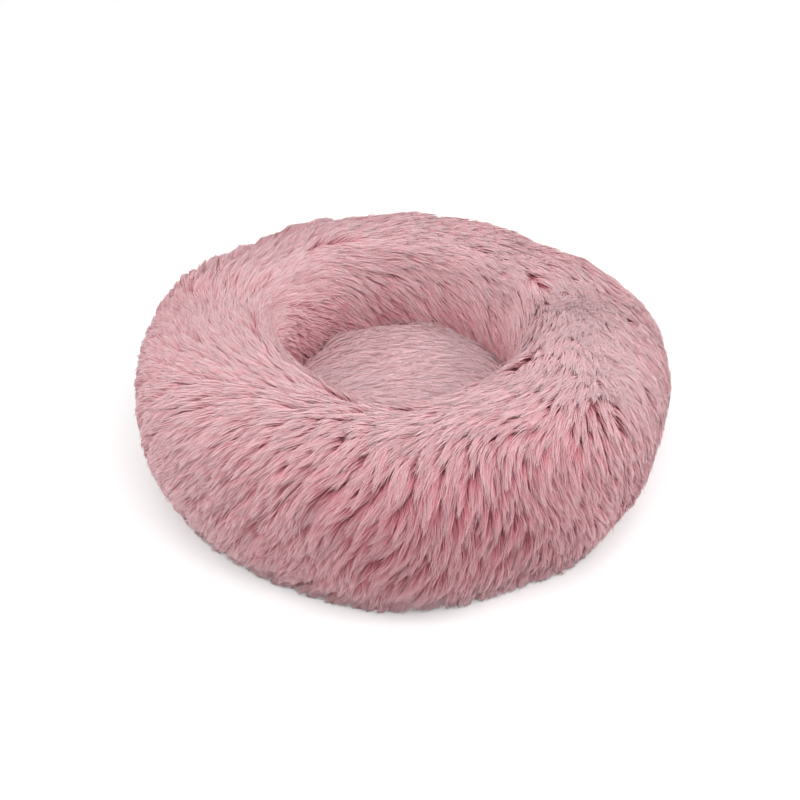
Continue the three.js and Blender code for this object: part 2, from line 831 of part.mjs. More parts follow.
const tab = new THREE.ExtrudeGeometry(tabOutline(), {
  depth: tabThickness,
  bevelEnabled: false,
  curveSegments: 6,
});
tab.translate(bailMiddle, zipLine, pivotHeight - tabThickness / 2);
add('zip_pull_tab', welded(tab), zipMetal);

export default piece;
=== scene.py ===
import math

import bmesh
import bpy
import numpy as np
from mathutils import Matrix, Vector, kdtree


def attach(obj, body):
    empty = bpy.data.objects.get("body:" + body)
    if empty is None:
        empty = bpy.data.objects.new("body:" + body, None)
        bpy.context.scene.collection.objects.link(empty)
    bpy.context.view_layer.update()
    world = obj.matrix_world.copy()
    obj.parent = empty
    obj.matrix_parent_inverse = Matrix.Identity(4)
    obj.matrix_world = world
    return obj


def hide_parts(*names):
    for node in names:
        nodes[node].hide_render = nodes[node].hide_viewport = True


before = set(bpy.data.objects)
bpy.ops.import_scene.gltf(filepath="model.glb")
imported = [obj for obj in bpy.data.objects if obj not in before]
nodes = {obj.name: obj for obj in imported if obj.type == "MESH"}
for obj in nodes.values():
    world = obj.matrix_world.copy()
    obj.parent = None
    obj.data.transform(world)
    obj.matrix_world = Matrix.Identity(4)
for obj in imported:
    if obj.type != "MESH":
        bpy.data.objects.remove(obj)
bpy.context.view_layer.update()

scene = bpy.context.scene

# The form of the fur's surface, in metres, degrees and shares, as in part.mjs
BED_RADIUS = 0.271
BED_HEIGHT = 0.215
BELLY_HEIGHT = 0.118
BASE_RADIUS = 0.220
FOOT_HEIGHT = 0.003
CREST_RADIUS = 0.166
CREST_SHIFT = 0.013
NEST_RADIUS = 0.127
NEST_SHIFT = 0.020
CREVICE_HEIGHT = 0.106
NEST_SEAM_HEIGHT = 0.086
CROWN_HEIGHT = 0.138
CUSHION_RADIUS = 0.1264
# Lobes and folds: the angle, how far each spreads to either side, and its amount
OUTLINE_LOBES = (
    (172, 34, 0.084), (6, 34, 0.087), (148, 18, 0.03), (205, 18, 0.044),
    (232, 20, 0.012), (272, 18, 0.058), (318, 20, 0.046), (92, 34, 0.028),
)
CREST_LOBES = ((268, 34, -0.055), (216, 32, 0.02), (326, 30, 0.012), (60, 30, -0.045))
RING_FOLDS = ((18, 11, 0.055), (162, 12, 0.04), (99, 11, 0.03))
FOOT_FOLLOW = 0.75
UNDERSIDE_ROUNDNESS = 1.9
SHOULDER_ROUNDNESS = 2.45
NEST_WALL_ROUNDNESS = 2.1
CUSHION_ROUNDNESS = 2.4
TUFT_HEIGHT = 0.005
TUFT_COUNTS = (40, 6.5)
TUFT_LOBES = ((280, 52, 0.8), (120, 60, 0.35))
CALM_TUFTS = 0.2
UNEVEN_TUFTS = 0.85
UNEVEN_COUNTS = (11, 3)
TUFTED_REACH = 0.62

# How finely the ring's section is taken, and its surface over the angle and along the section
QUARTER_POINTS = 60
SURFACE_GRID = (720, 260)
BACKING_GRID = (380, 120)

# The pile, of locks whose strands draw together, over a matted underfur
SEED = 20260
PILE_DEPTH = 0.0165
BACKING_THICKNESS = 0.0013
UNDERFUR_DEPTH = 0.0085
RING_LOCKS = 10500
PARTING_LOCKS = 520
CUSHION_LOCKS = 1600
RING_LOCK_LENGTH = 0.040
CUSHION_LOCK_LENGTH = 0.038
LENGTHS = (0.85, 1.12)
LOCK_SPREAD = 0.0052
TUFTS = 4200
RING_SECTORS = 26
CUSHION_SECTORS = 4
STRANDS_PER_LOCK = 15
STRAND_WIDTH = 0.0014
# How much deeper the underfur lies under shaggy tufts, how much it rises at the parting, and the least depth of fibre
SHAGGY_SINK, PARTING_RISE, LEAST_BACKING = 0.0035, 0.0075, 0.0006
# Where along each strand its points lie, and how far it is from each to the next
STRAND_REACH = np.array((0, 0.28, 0.56, 0.84, 1.0))
STRAND_STEPS = list(zip(STRAND_REACH, np.append(np.diff(STRAND_REACH), 0)))
# How strands differ from their lock: in length, in how far they lean, lift and wave in metres, and how many stray
STRAND_LENGTHS = (0.74, 1.08)
STRAND_LEAN = 0.0009
STRAND_LIFT = 0.0008
STRAND_WAVES = (0.0002, 0.0009)
STRAY_SHARE = 0.035
STRAY_LEAN = 0.005
STRAY_LIFT = 0.004
# How far the middle strands of a lock stand above the outer ones
LOCK_ROUND = 0.0022
# How close to the floor the strands come, and what shows of a strand that would pass through it
FLOOR_GAP = (0.0009, 0.0030)
FLOOR_PRESS = 0.06
# How far the strands are lit as the pile's surface is, over their own roundness
PILE_SOFTNESS = 0.6
# How far the pile that curls up at the foot, and in the nest, is lit from outside and above
FOOT_LEAN = 1.4
NEST_LEAN = 0.6
MAP_NAME = "OFBake"

# How the pile falls over the outside, round the bed: angle, how steep it gets, and where it is half as steep
COMB = np.array((
    (0, 100, 0.30), (20, 84, 0.34), (60, 70, 0.22), (100, 62, 0.20), (140, 52, 0.20), (180, 46, 0.25),
    (200, 50, 0.25), (220, 55, 0.15), (240, 60, 0.09), (260, 63, 0.09), (280, 75, 0.18), (300, 90, 0.30),
    (320, 106, 0.32), (340, 110, 0.28),
))
# How steep it is along the crest, how much steeper on the nest's wall, and how much of that it loses at the seam
CREST_FALL, NEST_FALL, SEAM_LEVELLING = 4, 38, 12
# The line over the right shoulder that the pile parts along: angles and shares of the section
PARTING = ((26, -4, -25), (0.622, 0.580, 0.515))
# How wide it is in metres, and how far its own locks spread round the bed and along the section
PARTING_WIDTH = 0.026
PARTING_SPREAD = (0.075, 0.036)
# Where the locks draw together into shaggy tufts, and where the pile stands fuller or thinner, in metres
SHAGGY = ((280, 52, 1.0), (120, 60, 0.35))
FULLER = ((158, 15, 0.007), (24, 17, 0.008), (88, 26, 0.003))
THINNER = ((288, 15, 0.006),)
# How the cushion's pile falls: degrees from the right, and how much that turns over its radius
CUSHION_FALL = (-12, 0.62)
# Below this share of the section the pile turns down to the floor, over this length in metres
FLOOR_SHARE = 0.045
FLOOR_BEND = 0.012

TURN = 2 * math.pi
GOLDEN_ANGLE = 2.399963
# Steps that spread points evenly over an area
EVEN_STEPS = (0.7548776662466927, 0.5698402909980532)
ANY_PHASE = (0, 6.3)

rng = np.random.default_rng(SEED)


# Meshes and pieces

def link(mesh, material):
    thing = bpy.data.objects.new(mesh.name, mesh)
    scene.collection.objects.link(thing)
    mesh.materials.append(material)
    return thing


def piece(mesh, material, node_name):
    """A piece of the bed that stands in for a CAD node, which is hidden."""
    thing = link(mesh, material)
    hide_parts(node_name)
    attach(thing, "bed")
    return thing


def smooth_mesh(name, places, faces):
    mesh = bpy.data.meshes.new(name)
    mesh.from_pydata(places.reshape(-1, 3).tolist(), [], faces.tolist(), shade_flat=False)
    return mesh


def grid_mesh(name, places, wrap=True):
    """A mesh over a grid of points, closed on itself along the columns, and along the rows or not."""
    rows, columns = places.shape[:2]
    i, j = np.meshgrid(np.arange(rows if wrap else rows - 1), np.arange(columns), indexing="ij")
    next_i, next_j = (i + 1) % rows, (j + 1) % columns
    corners = [i * columns + j, next_i * columns + j, next_i * columns + next_j, i * columns + next_j]
    return smooth_mesh(name, places, np.stack(corners, -1).reshape(-1, 4))


def closed(mesh):
    """The same mesh with its open ends filled."""
    form = bmesh.new()
    form.from_mesh(mesh)
    bmesh.ops.holes_fill(form, edges=form.edges)
    form.to_mesh(mesh)
    form.free()
    return mesh


def unit(v):
    return v / np.linalg.norm(v, axis=-1, keepdims=True).clip(1e-12)


def ease(x, low, high):
    t = ((x - low) / (high - low)).clip(0, 1)
    return t * t * (3 - 2 * t)


def fading(x, low, high):
    """1 up to low, falling to 0 at high."""
    return ease(-x, -high, -low)


def turn_steps(count):
    return np.linspace(0, TURN, count, endpoint=False)


def round_axis(radius, angle, height):
    """Points at a radius, an angle and a height about the bed's axis."""
    return np.stack([radius * np.cos(angle), radius * np.sin(angle), height], -1)


# The ring's surface, sampled finely over the angle and the way along its section

def lobe_sum(angle, lobes):
    total = np.zeros_like(angle)
    for at, spread, share in lobes:
        away = (angle - math.radians(at) + math.pi) % TURN - math.pi
        total += share * np.exp(-((away / math.radians(spread)) ** 2))
    return total


def shifted_radius(angle, radius, shift):
    return shift * np.sin(angle) + np.sqrt(radius**2 - (shift * np.cos(angle)) ** 2)


def quarter_arc(turn, roundness):
    across, up = np.cos(turn).clip(0), np.sin(turn)
    reach = (across**roundness + up**roundness) ** (1 / roundness)
    return across / reach, up / reach


def section(angle):
    """Radius and height along the section from the base seam over the crest to the nest seam."""
    a = angle[:, None]
    fold = lobe_sum(a, RING_FOLDS)
    swell = lobe_sum(a, OUTLINE_LOBES)
    outer = BED_RADIUS * (1 + swell)
    top = BED_HEIGHT * (1 + lobe_sum(a, CREST_LOBES) - fold)
    foot = BASE_RADIUS + FOOT_FOLLOW * BED_RADIUS * swell
    crest = shifted_radius(a, CREST_RADIUS, CREST_SHIFT)
    nest = shifted_radius(a, NEST_RADIUS, NEST_SHIFT)
    quarter = np.linspace(0, math.pi / 2, QUARTER_POINTS)
    across, up = quarter_arc(quarter[::-1], UNDERSIDE_ROUNDNESS)
    radius = [foot + (outer - foot) * across]
    height = [BELLY_HEIGHT - (BELLY_HEIGHT - FOOT_HEIGHT) * up + 0 * a]
    across, up = quarter_arc(quarter[1:], SHOULDER_ROUNDNESS)
    radius.append(crest + (outer - crest) * across)
    height.append(BELLY_HEIGHT + (top - BELLY_HEIGHT) * up)
    across, up = quarter_arc(quarter[-2::-1], NEST_WALL_ROUNDNESS)
    radius.append(crest - (crest - nest) * across + fold * BED_HEIGHT * up * across)
    height.append(CREVICE_HEIGHT + (top - CREVICE_HEIGHT) * up)
    radius.append(nest)
    height.append(NEST_SEAM_HEIGHT + 0 * a)
    return np.concatenate(radius, 1), np.concatenate(height, 1)


def tuft_rise(angle, share):
    """How far the ring's tufts swell above its surface, or the hollows between them sink, in metres."""
    up = share.clip(0, 1)
    kept = np.minimum(CALM_TUFTS + lobe_sum(angle, TUFT_LOBES), 1)
    faded = np.sin(math.pi * np.minimum(up / TUFTED_REACH, 1))
    around, along = UNEVEN_COUNTS
    uneven = 1 - UNEVEN_TUFTS * (1 + np.sin(around * angle + TURN * along * up)) / 2
    around, along = TUFT_COUNTS
    return TUFT_HEIGHT * kept * faded * uneven * np.cos(around * angle - TURN * along * up)


class RingSurface:
    """The fur's outer surface: place, normal and the two ways along it, at any angle and share of the section."""

    def __init__(self):
        self.rows, self.columns = rows, columns = SURFACE_GRID
        angle = turn_steps(rows)
        radius, height = section(angle)
        step = np.hypot(np.diff(radius, axis=1), np.diff(height, axis=1))
        along = np.concatenate([np.zeros((rows, 1)), step.cumsum(1)], 1)
        even = np.linspace(0, 1, columns)
        r, z = (np.stack([np.interp(even * s[-1], s, x) for s, x in zip(along, v)]) for v in (radius, height))
        at_crest = 2 * QUARTER_POINTS - 2
        self.crest = (along[:, at_crest] / along[:, -1]).mean()
        place = round_axis(r, angle[:, None], z)
        du = (np.roll(place, -1, 0) - np.roll(place, 1, 0)) * rows / (2 * TURN)
        dv = np.gradient(place, even, axis=1)
        for _ in range(3):
            dv[:, 1:-1] = (dv[:, :-2] + 2 * dv[:, 1:-1] + dv[:, 2:]) / 4
        across = np.cross(du, dv)
        self.table = np.concatenate([place, du, dv, unit(across)], -1)
        self.area = np.linalg.norm(across, axis=-1)
        self.length = np.linalg.norm(np.diff(place, axis=1), axis=-1).sum(1).mean()

    def at(self, angle, share):
        x = (angle % TURN) / TURN * self.rows
        y = share.clip(0, 1) * (self.columns - 1)
        i, j = np.floor(x).astype(int), np.floor(y).astype(int).clip(0, self.columns - 2)
        fx, fy = (x - i)[:, None], (y - j)[:, None]
        i %= self.rows
        k = (i + 1) % self.rows
        below, above = (self.table[i, n] * (1 - fx) + self.table[k, n] * fx for n in (j, j + 1))
        found = below * (1 - fy) + above * fy
        return found[:, :3], found[:, 3:6], found[:, 6:9], unit(found[:, 9:])

    def roots(self, count):
        """Evenly spread starting places, by a low-discrepancy sequence over the surface's area."""
        first, second = ((0.5 + np.arange(count) * step) % 1 for step in EVEN_STEPS)
        per_row = np.concatenate([[0], self.area.mean(1).cumsum()])
        x = np.interp(first * per_row[-1], per_row, np.arange(self.rows + 1))
        row = np.floor(x).astype(int) % self.rows
        within = np.concatenate([np.zeros((self.rows, 1)), self.area[:, 1:].cumsum(1)], 1)
        within /= within[:, -1:]
        share = np.empty(count)
        for r in np.unique(row):
            here = row == r
            share[here] = np.interp(second[here], within[r], np.linspace(0, 1, self.columns))
        return x / self.rows * TURN, share


def ripple(x, y, waves, amount):
    """A smooth random field that repeats round the bed: x is an angle, y a share."""
    total = np.zeros_like(x)
    for _ in range(waves):
        total += np.sin(rng.integers(2, 15) * x + rng.uniform(3, 22) * y + rng.uniform(*ANY_PHASE))
    return amount * total / math.sqrt(waves / 2)


# Strands

def strand_mesh(name, places, side, up, width, colour_at):
    """One mesh of tapering three-sided strands. places is strands x points x 3, from root to tip.

    colour_at holds, for each strand, its place across the colour map and where on it its root and tip are.
    """
    count, points = places.shape[:2]
    t = STRAND_REACH
    taper = (0.75 + 0.25 * np.sin(math.pi * t.clip(0, 0.5))) * (1 - t**2.2) + 0.05
    turn = np.radians([30, 150, 270])
    cos, sin = np.cos(turn)[:, None], np.sin(turn)[:, None]
    side, up_to_tip = side[:, :-1, None], up[:, :-1, None]
    reach = width[:, None, None, None] * taper[None, :-1, None, None] / 2
    corners = places[:, :-1, None] + reach * (side * cos + up_to_tip * sin * 0.8)
    verts = np.concatenate([corners.reshape(count, -1, 3), places[:, -1:]], 1)
    facing = side * cos + up_to_tip * (sin + PILE_SOFTNESS)
    facing = unit(np.concatenate([facing.reshape(count, -1, 3), up[:, -1:]], 1))
    per = verts.shape[1]
    loops, sizes, uv = [], [], []
    for k in range(points - 2):
        for s in range(3):
            n, a, b = (s + 1) % 3, s / 3, (s + 1) / 3
            loops += [3 * k + s, 3 * k + n, 3 * k + 3 + n, 3 * k + 3 + s]
            uv += [(a, t[k]), (b, t[k]), (b, t[k + 1]), (a, t[k + 1])]
            sizes.append(4)
    last = 3 * (points - 2)
    for s in range(3):
        a, b = s / 3, (s + 1) / 3
        loops += [last + s, last + (s + 1) % 3, per - 1]
        uv += [(a, t[-2]), (b, t[-2]), ((a + b) / 2, 1)]
        sizes.append(3)
    loops += [2, 1, 0]
    uv += [(0.7, 0.0), (0.35, 0.0), (0.5, 0.02)]
    sizes.append(3)
    loops, sizes, uv = np.array(loops), np.tile(sizes, count), np.array(uv)
    mesh = bpy.data.meshes.new(name)
    mesh.vertices.add(count * per)
    mesh.vertices.foreach_set("co", verts.astype(np.float32).ravel())
    mesh.loops.add(count * len(loops))
    every = (loops[None] + per * np.arange(count)[:, None]).ravel()
    mesh.loops.foreach_set("vertex_index", every.astype(np.int32))
    mesh.polygons.add(len(sizes))
    mesh.polygons.foreach_set("loop_start", np.concatenate([[0], sizes.cumsum()[:-1]]).astype(np.int32))
    mesh.update(calc_edges=True)
    mesh.normals_split_custom_set_from_vertices(facing.reshape(-1, 3))
    layer = mesh.uv_layers.new(name=MAP_NAME)
    across = colour_at[:, :1] + 0.01 * uv[None, :, 0]
    along = colour_at[:, 1:2] + (colour_at[:, 2:] - colour_at[:, 1:2]) * uv[None, :, 1]
    layer.uv.foreach_set("vector", np.stack([across, along], -1).astype(np.float32).ravel())
    return mesh


def locks_to_strands(guide, along, normal, length, clump, spread):
    """Strands that draw together towards the tip of each lock. guide is locks x points x 3."""
    locks, points = guide.shape[:2]
    every = (locks, STRANDS_PER_LOCK)
    t = STRAND_REACH
    side = unit(np.cross(normal, along))
    n = np.arange(STRANDS_PER_LOCK)
    turn = n * GOLDEN_ANGLE + rng.uniform(*ANY_PHASE, (locks, 1))
    far = spread * np.sqrt((n + 0.5) / STRANDS_PER_LOCK) * rng.uniform(0.85, 1.15, every)
    a, b = far * np.cos(turn), far * np.sin(turn)
    grow = rng.uniform(*STRAND_LENGTHS, every)
    stray = rng.uniform(0, 1, every) < STRAY_SHARE
    lean = rng.normal(0, STRAND_LEAN, every) + stray * rng.normal(0, STRAY_LEAN, every)
    lift = rng.normal(0, STRAND_LIFT, every) + stray * rng.uniform(0, STRAY_LIFT, every)
    wave = rng.uniform(*STRAND_WAVES, every)
    phase = rng.uniform(*ANY_PHASE, every)
    gather = 1 - clump[:, None, None] * t**1.25
    across = a[..., None] * gather + lean[..., None] * t**1.4
    across = across + wave[..., None] * t * np.sin(5.5 * t + phase[..., None])
    onward = b[..., None] * (1 - 0.5 * t) + length[:, None, None] * t * (grow[..., None] - 1)
    rise = lift[..., None] * t - LOCK_ROUND * (a[..., None] / spread) ** 2 * t
    places = (
        guide[:, None]
        + across[..., None] * side[:, None]
        + onward[..., None] * along[:, None]
        + rise[..., None] * normal[:, None]
    )
    spin = rng.uniform(-0.4, 0.4, (*every, 1, 1))
    turned = side[:, None] * np.cos(spin) + normal[:, None] * np.sin(spin)
    lit = np.broadcast_to(normal[:, None], places.shape)
    return [v.reshape(locks * STRANDS_PER_LOCK, points, 3) for v in (places, turned, lit)]


def bundle_maps(locks, painted_shade):
    """Where each strand lies on the colour map: where more painted shade is asked for, a strand keeps more of its
    darker root colour, which stands for the shade between strands and locks.
    """
    lock_at = rng.uniform(0, 0.95, (locks, 1))
    across = lock_at + rng.uniform(0, 0.04, (locks, STRANDS_PER_LOCK))
    root_at = np.broadcast_to((0.01 + 0.27 * (1 - painted_shade))[:, None], across.shape)
    tip_at = np.broadcast_to((0.99 - 0.26 * painted_shade)[:, None], across.shape)
    return np.stack([across, root_at, tip_at], -1).reshape(-1, 3)


def off_floor(places):
    low = rng.uniform(*FLOOR_GAP, (len(places), 1))
    z = places[..., 2]
    places[..., 2] = np.where(z < low, low + FLOOR_PRESS * (low - z).clip(0, 0.01), z)


# The comb of the ring's pile: clockwise along the crest, falling down the outside and into the nest

ring = RingSurface()
parting = ring.at(np.radians(PARTING[0]), np.array(PARTING[1]))[0]


def near_parting(place):
    """1 on the line that the pile parts along, falling to 0 beside it."""
    away = np.full(len(place), np.inf)
    for a, b in zip(parting, parting[1:]):
        t = (((place - a) @ (b - a)) / ((b - a) @ (b - a))).clip(0, 1)
        away = np.minimum(away, np.linalg.norm(place - a - t[:, None] * (b - a), axis=1))
    return np.exp(-((away / PARTING_WIDTH) ** 2))


def comb(angle, share, way_round, way_up, sway):
    """The way the pile lies at each place."""
    outside = ((ring.crest - share) / ring.crest).clip(0, 1)
    inside = ((share - ring.crest) / (1 - ring.crest)).clip(0, 1)
    degrees = np.degrees(angle) % 360
    steep, half = (np.interp(degrees, COMB[:, 0], COMB[:, n], period=360) for n in (1, 2))
    wide = half.clip(0, 0.2) + 0.04
    fall_out = CREST_FALL + (steep - CREST_FALL) * ease((outside - half) / wide, -1, 1)
    fall_in = CREST_FALL + NEST_FALL * ease(inside, 0.08, 0.55) - SEAM_LEVELLING * ease(inside, 0.7, 1.0)
    fall_out, fall_in = np.radians(fall_out) + sway, np.radians(fall_in) + sway
    clockwise = -unit(way_round)
    up = unit(way_up)
    out_way = np.cos(fall_out)[:, None] * clockwise - np.sin(fall_out)[:, None] * up
    in_way = np.cos(fall_in)[:, None] * clockwise + np.sin(fall_in)[:, None] * up
    return np.where((share < ring.crest)[:, None], out_way, in_way)


def outside_crest(share):
    """1 over the ring's outside, falling to 0 just before its crest."""
    return fading(share, ring.crest * 0.66, ring.crest * 0.96)


def shagginess(angle, share):
    return 0.1 + 0.9 * (lobe_sum(angle, SHAGGY) * outside_crest(share)).clip(0, 1)


def tuft_pull(root, way, normal, centres):
    """From each root, the way across the strand to the middle of the tuft that it belongs to."""
    tree = kdtree.KDTree(len(centres))
    for n, centre in enumerate(centres):
        tree.insert(centre, n)
    tree.balance()
    pull = np.array([tree.find(place)[0] for place in root]) - root
    pull -= way * (pull * way).sum(1, keepdims=True)
    return pull - normal * (pull * normal).sum(1, keepdims=True)


def ring_guides(count):
    """The ring's locks: their middle lines, the ways along them and the normals, and what their strands go by."""
    angle, share = ring.roots(count)
    at = rng.uniform(0, 2, PARTING_LOCKS)
    parting_angle = np.radians(np.interp(at, range(3), PARTING[0]))
    angle = np.append(angle, parting_angle + rng.normal(0, PARTING_SPREAD[0], PARTING_LOCKS))
    parting_share = np.interp(at, range(3), PARTING[1])
    share = np.append(share, parting_share + rng.normal(0, PARTING_SPREAD[1], PARTING_LOCKS))
    count += PARTING_LOCKS

    def vary(spread):
        return rng.normal(0, spread, count)

    angle = angle + vary(0.004)
    share = (share + vary(0.003)).clip(0.004, 0.985)
    start_angle = angle.copy()
    floor_share = np.minimum(FLOOR_SHARE, share)
    root, way_round, way_up, root_normal = ring.at(angle, share)

    # Where each lock is: by the parting, outside, in the nest, among the shaggy tufts or by the floor
    near = near_parting(root)
    sway = ripple(angle, share, 9, 0.10) + vary(0.08) + near * vary(0.4)
    swell = ripple(angle, share, 8, 0.0012) + vary(0.0009)
    inside = ease(share, ring.crest + 0.05, 0.9)
    shag = shagginess(angle, share)
    by_floor = fading(share, 0.06, 0.24)
    # How much painted shade its strands carry as darker root colour: more among shaggy tufts and in the nest, less by
    # the floor and at the parting
    painted_shade = ((shag * (1 - 0.7 * by_floor) + 0.75 * inside) * (1 - 0.8 * near)).clip(0, 1)

    # How long it is, how high it stands, how early it lies flat and how far it draws together
    length = (RING_LOCK_LENGTH + 0.004 * shag - 0.006 * inside) * (1 - 0.3 * near) * rng.uniform(*LENGTHS, count)
    foot_room = share * ring.length + rng.uniform(0.003, 0.009, count)
    length = np.minimum(length, foot_room)
    height = PILE_DEPTH + 0.0022 + swell * (0.6 + 1.0 * shag) + near * rng.uniform(-0.001, 0.003, count)
    height = height - 0.005 * fading(share, 0.06, 0.22)
    height = height + lobe_sum(angle, FULLER) * outside_crest(share) * (1 - fading(share, 0.1, 0.3))
    height = height - lobe_sum(angle, THINNER) * fading(share, 0.15, 0.4)
    flat = 4.2 - 2.3 * shag - 1.2 * near
    clump = ((0.34 + 0.36 * shag) * (1 - 0.4 * near) + vary(0.05)).clip(0.15, 0.92)

    # Locks near each other are drawn aside, and sink, towards the middle of one tuft
    centre_angle, centre_share = ring.roots(TUFTS)
    centre_angle += rng.normal(0, 0.012, TUFTS)
    centres = ring.at(centre_angle, centre_share + rng.normal(0, 0.008, TUFTS))[0]
    pull = tuft_pull(root, comb(angle, share, way_round, way_up, sway), root_normal, centres)
    sunk = 0.8 * shag * np.linalg.norm(pull, axis=1)
    pull *= (0.9 * shag * rng.uniform(0.7, 1.1, count))[:, None]

    # From root to tip, each lock follows the comb over the surface, and turns down where that ends at the floor
    outward = unit(root * np.array([1, 1, 0]))
    upward = np.array([0, 0, 1.0])
    outward_up = outward + 0.5 * upward
    splay = unit(outward * 0.1 - upward)
    guide, ways, normals = [], [], []
    for t, onward in STRAND_STEPS:
        place, way_round, way_up, normal = ring.at(angle, share.clip(floor_share, 1))
        way = comb(angle, share, way_round, way_up, sway)
        lifted = height * (1 - (1 - t) ** flat) - PILE_DEPTH - sunk * t + tuft_rise(angle, share)
        beyond = (floor_share - share).clip(0) * ring.length
        guide.append(place + normal * lifted[:, None] + splay * beyond[:, None] + pull * t**1.3)
        bent = ease(beyond, 0.0, FLOOR_BEND)[:, None]
        ways.append(unit(way * (1 - bent) + splay * bent))
        lean = FOOT_LEAN * outward_up * fading(share, 0.0, 0.2)[:, None]
        lean = lean + NEST_LEAN * upward * ease(share, ring.crest + 0.05, 0.85)[:, None]
        normals.append(unit(normal + lean))
        step = length * onward
        e, f, g = (way_round**2).sum(1), (way_round * way_up).sum(1), (way_up**2).sum(1)
        a, b = (way * way_round).sum(1), (way * way_up).sum(1)
        det = e * g - f * f
        angle = angle + (a * g - b * f) / det * step
        share = (share + (b * e - a * f) / det * step).clip(-0.2, 0.995)
    return *(np.stack(v, 1) for v in (guide, ways, normals)), length, clump, start_angle, painted_shade


# The cushion's crown, and its locks

def crown(x, y):
    """Height and normal of the cushion's surface about its own axis."""
    reach = (np.hypot(x, y) / CUSHION_RADIUS).clip(0, 0.9995)
    n = CUSHION_ROUNDNESS
    rest = (1 - reach**n) ** (1 / n)
    z = NEST_SEAM_HEIGHT + (CROWN_HEIGHT - NEST_SEAM_HEIGHT) * rest
    slope = -(CROWN_HEIGHT - NEST_SEAM_HEIGHT) / CUSHION_RADIUS * (reach / rest.clip(1e-3)) ** (n - 1)
    away = np.hypot(x, y).clip(1e-9)
    return z, unit(np.stack([-slope * x / away, -slope * y / away, np.ones_like(x)], -1))


def cushion_guides(count):
    n = np.arange(count) + 0.5
    far = CUSHION_RADIUS * 0.965 * np.sqrt(n / count)
    turn = n * GOLDEN_ANGLE
    x, y = far * np.cos(turn), far * np.sin(turn)
    sway = 0.16 * (np.sin(31 * x + 17 * y + 1) + np.sin(-19 * x + 37 * y + 2)) + rng.normal(0, 0.12, count)
    swell = 0.0016 * (np.sin(43 * x + 1.3) + np.sin(51 * y + 29 * x)) + rng.normal(0, 0.0010, count)
    swell += rng.uniform(-0.0045, 0.003, count) * ease(far / CUSHION_RADIUS, 0.7, 0.9)
    length = CUSHION_LOCK_LENGTH * rng.uniform(*LENGTHS, count)
    clump = (0.5 + rng.normal(0, 0.07, count)).clip(0.25, 0.8)
    guide, ways, normals = [], [], []
    for t, onward in STRAND_STEPS:
        z, normal = crown(x, y)
        turn = math.radians(CUSHION_FALL[0]) - CUSHION_FALL[1] * x / CUSHION_RADIUS + sway
        way = np.stack([np.cos(turn), np.sin(turn), 0 * x], -1)
        way = unit(way - normal * (way * normal).sum(1, keepdims=True))
        lifted = (PILE_DEPTH + swell) * (1 - (1 - t) ** 2.8) - PILE_DEPTH
        guide.append(np.stack([x, y + NEST_SHIFT, z], -1) + normal * lifted[:, None])
        ways.append(way)
        normals.append(normal)
        step = length * onward
        x, y = x + way[:, 0] * step, y + way[:, 1] * step
        over = np.hypot(x, y) / (CUSHION_RADIUS * 0.99)
        x, y = x / over.clip(1), y / over.clip(1)
    return *(np.stack(v, 1) for v in (guide, ways, normals)), length, clump


# Materials

WHITE = (1.0, 1.0, 1.0)


def material(name, roughness, metallic=0.0, specular=0.3, sheen=0.0, sheen_tint=WHITE):
    made = bpy.data.materials.new(name)
    made.use_nodes = True
    shader = made.node_tree.nodes["Principled BSDF"]
    for key, value in (
        ("Roughness", roughness), ("Metallic", metallic), ("Specular IOR Level", specular),
        ("Sheen Weight", sheen), ("Sheen Roughness", 0.5), ("Sheen Tint", (*sheen_tint, 1)),
    ):
        shader.inputs[key].default_value = value
    return made, made.node_tree, shader


def node(tree, kind, *sources, **settings):
    """A new node with its settings, and its first inputs linked to the sources."""
    made = tree.nodes.new("ShaderNode" + kind)
    for key, value in settings.items():
        if key in made.inputs:
            made.inputs[key].default_value = value
        else:
            setattr(made, key, value)
    for place, source in zip(made.inputs, sources):
        tree.links.new(source, place)
    return made


def object_space(tree):
    return node(tree, "TexCoord").outputs["Object"]


def noise(tree, place, scale, detail, distortion=0.0):
    made = node(tree, "TexNoise", place, Scale=scale, Detail=detail, Distortion=distortion)
    return made.outputs["Fac"]


def ramp(tree, source, *stops):
    made = node(tree, "ValToRGB", source)
    while len(made.color_ramp.elements) < len(stops):
        made.color_ramp.elements.new(0.5)
    for element, (at, colour) in zip(made.color_ramp.elements, stops):
        element.position = at
        element.color = (*colour, 1)
    return made.outputs["Color"]


def multiplied(tree, factor, a, b):
    made = node(tree, "Mix", data_type="RGBA", blend_type="MULTIPLY")
    made.inputs[0].default_value = factor
    tree.links.new(a, made.inputs[6])
    tree.links.new(b, made.inputs[7])
    return made.outputs[2]


def coloured(tree, shader, source):
    tree.links.new(source, shader.inputs["Base Color"])


def polished(tree, shader, source, low, high):
    """Roughness from low to high, as the source says."""
    polish = node(tree, "MapRange", source, **{"To Min": low, "To Max": high})
    tree.links.new(polish.outputs["Result"], shader.inputs["Roughness"])


def raised(tree, shader, source, strength, distance):
    """A fine bump, as the source says."""
    bump = node(tree, "Bump", Strength=strength, Distance=distance)
    tree.links.new(source, bump.inputs["Height"])
    tree.links.new(bump.outputs[0], shader.inputs["Normal"])


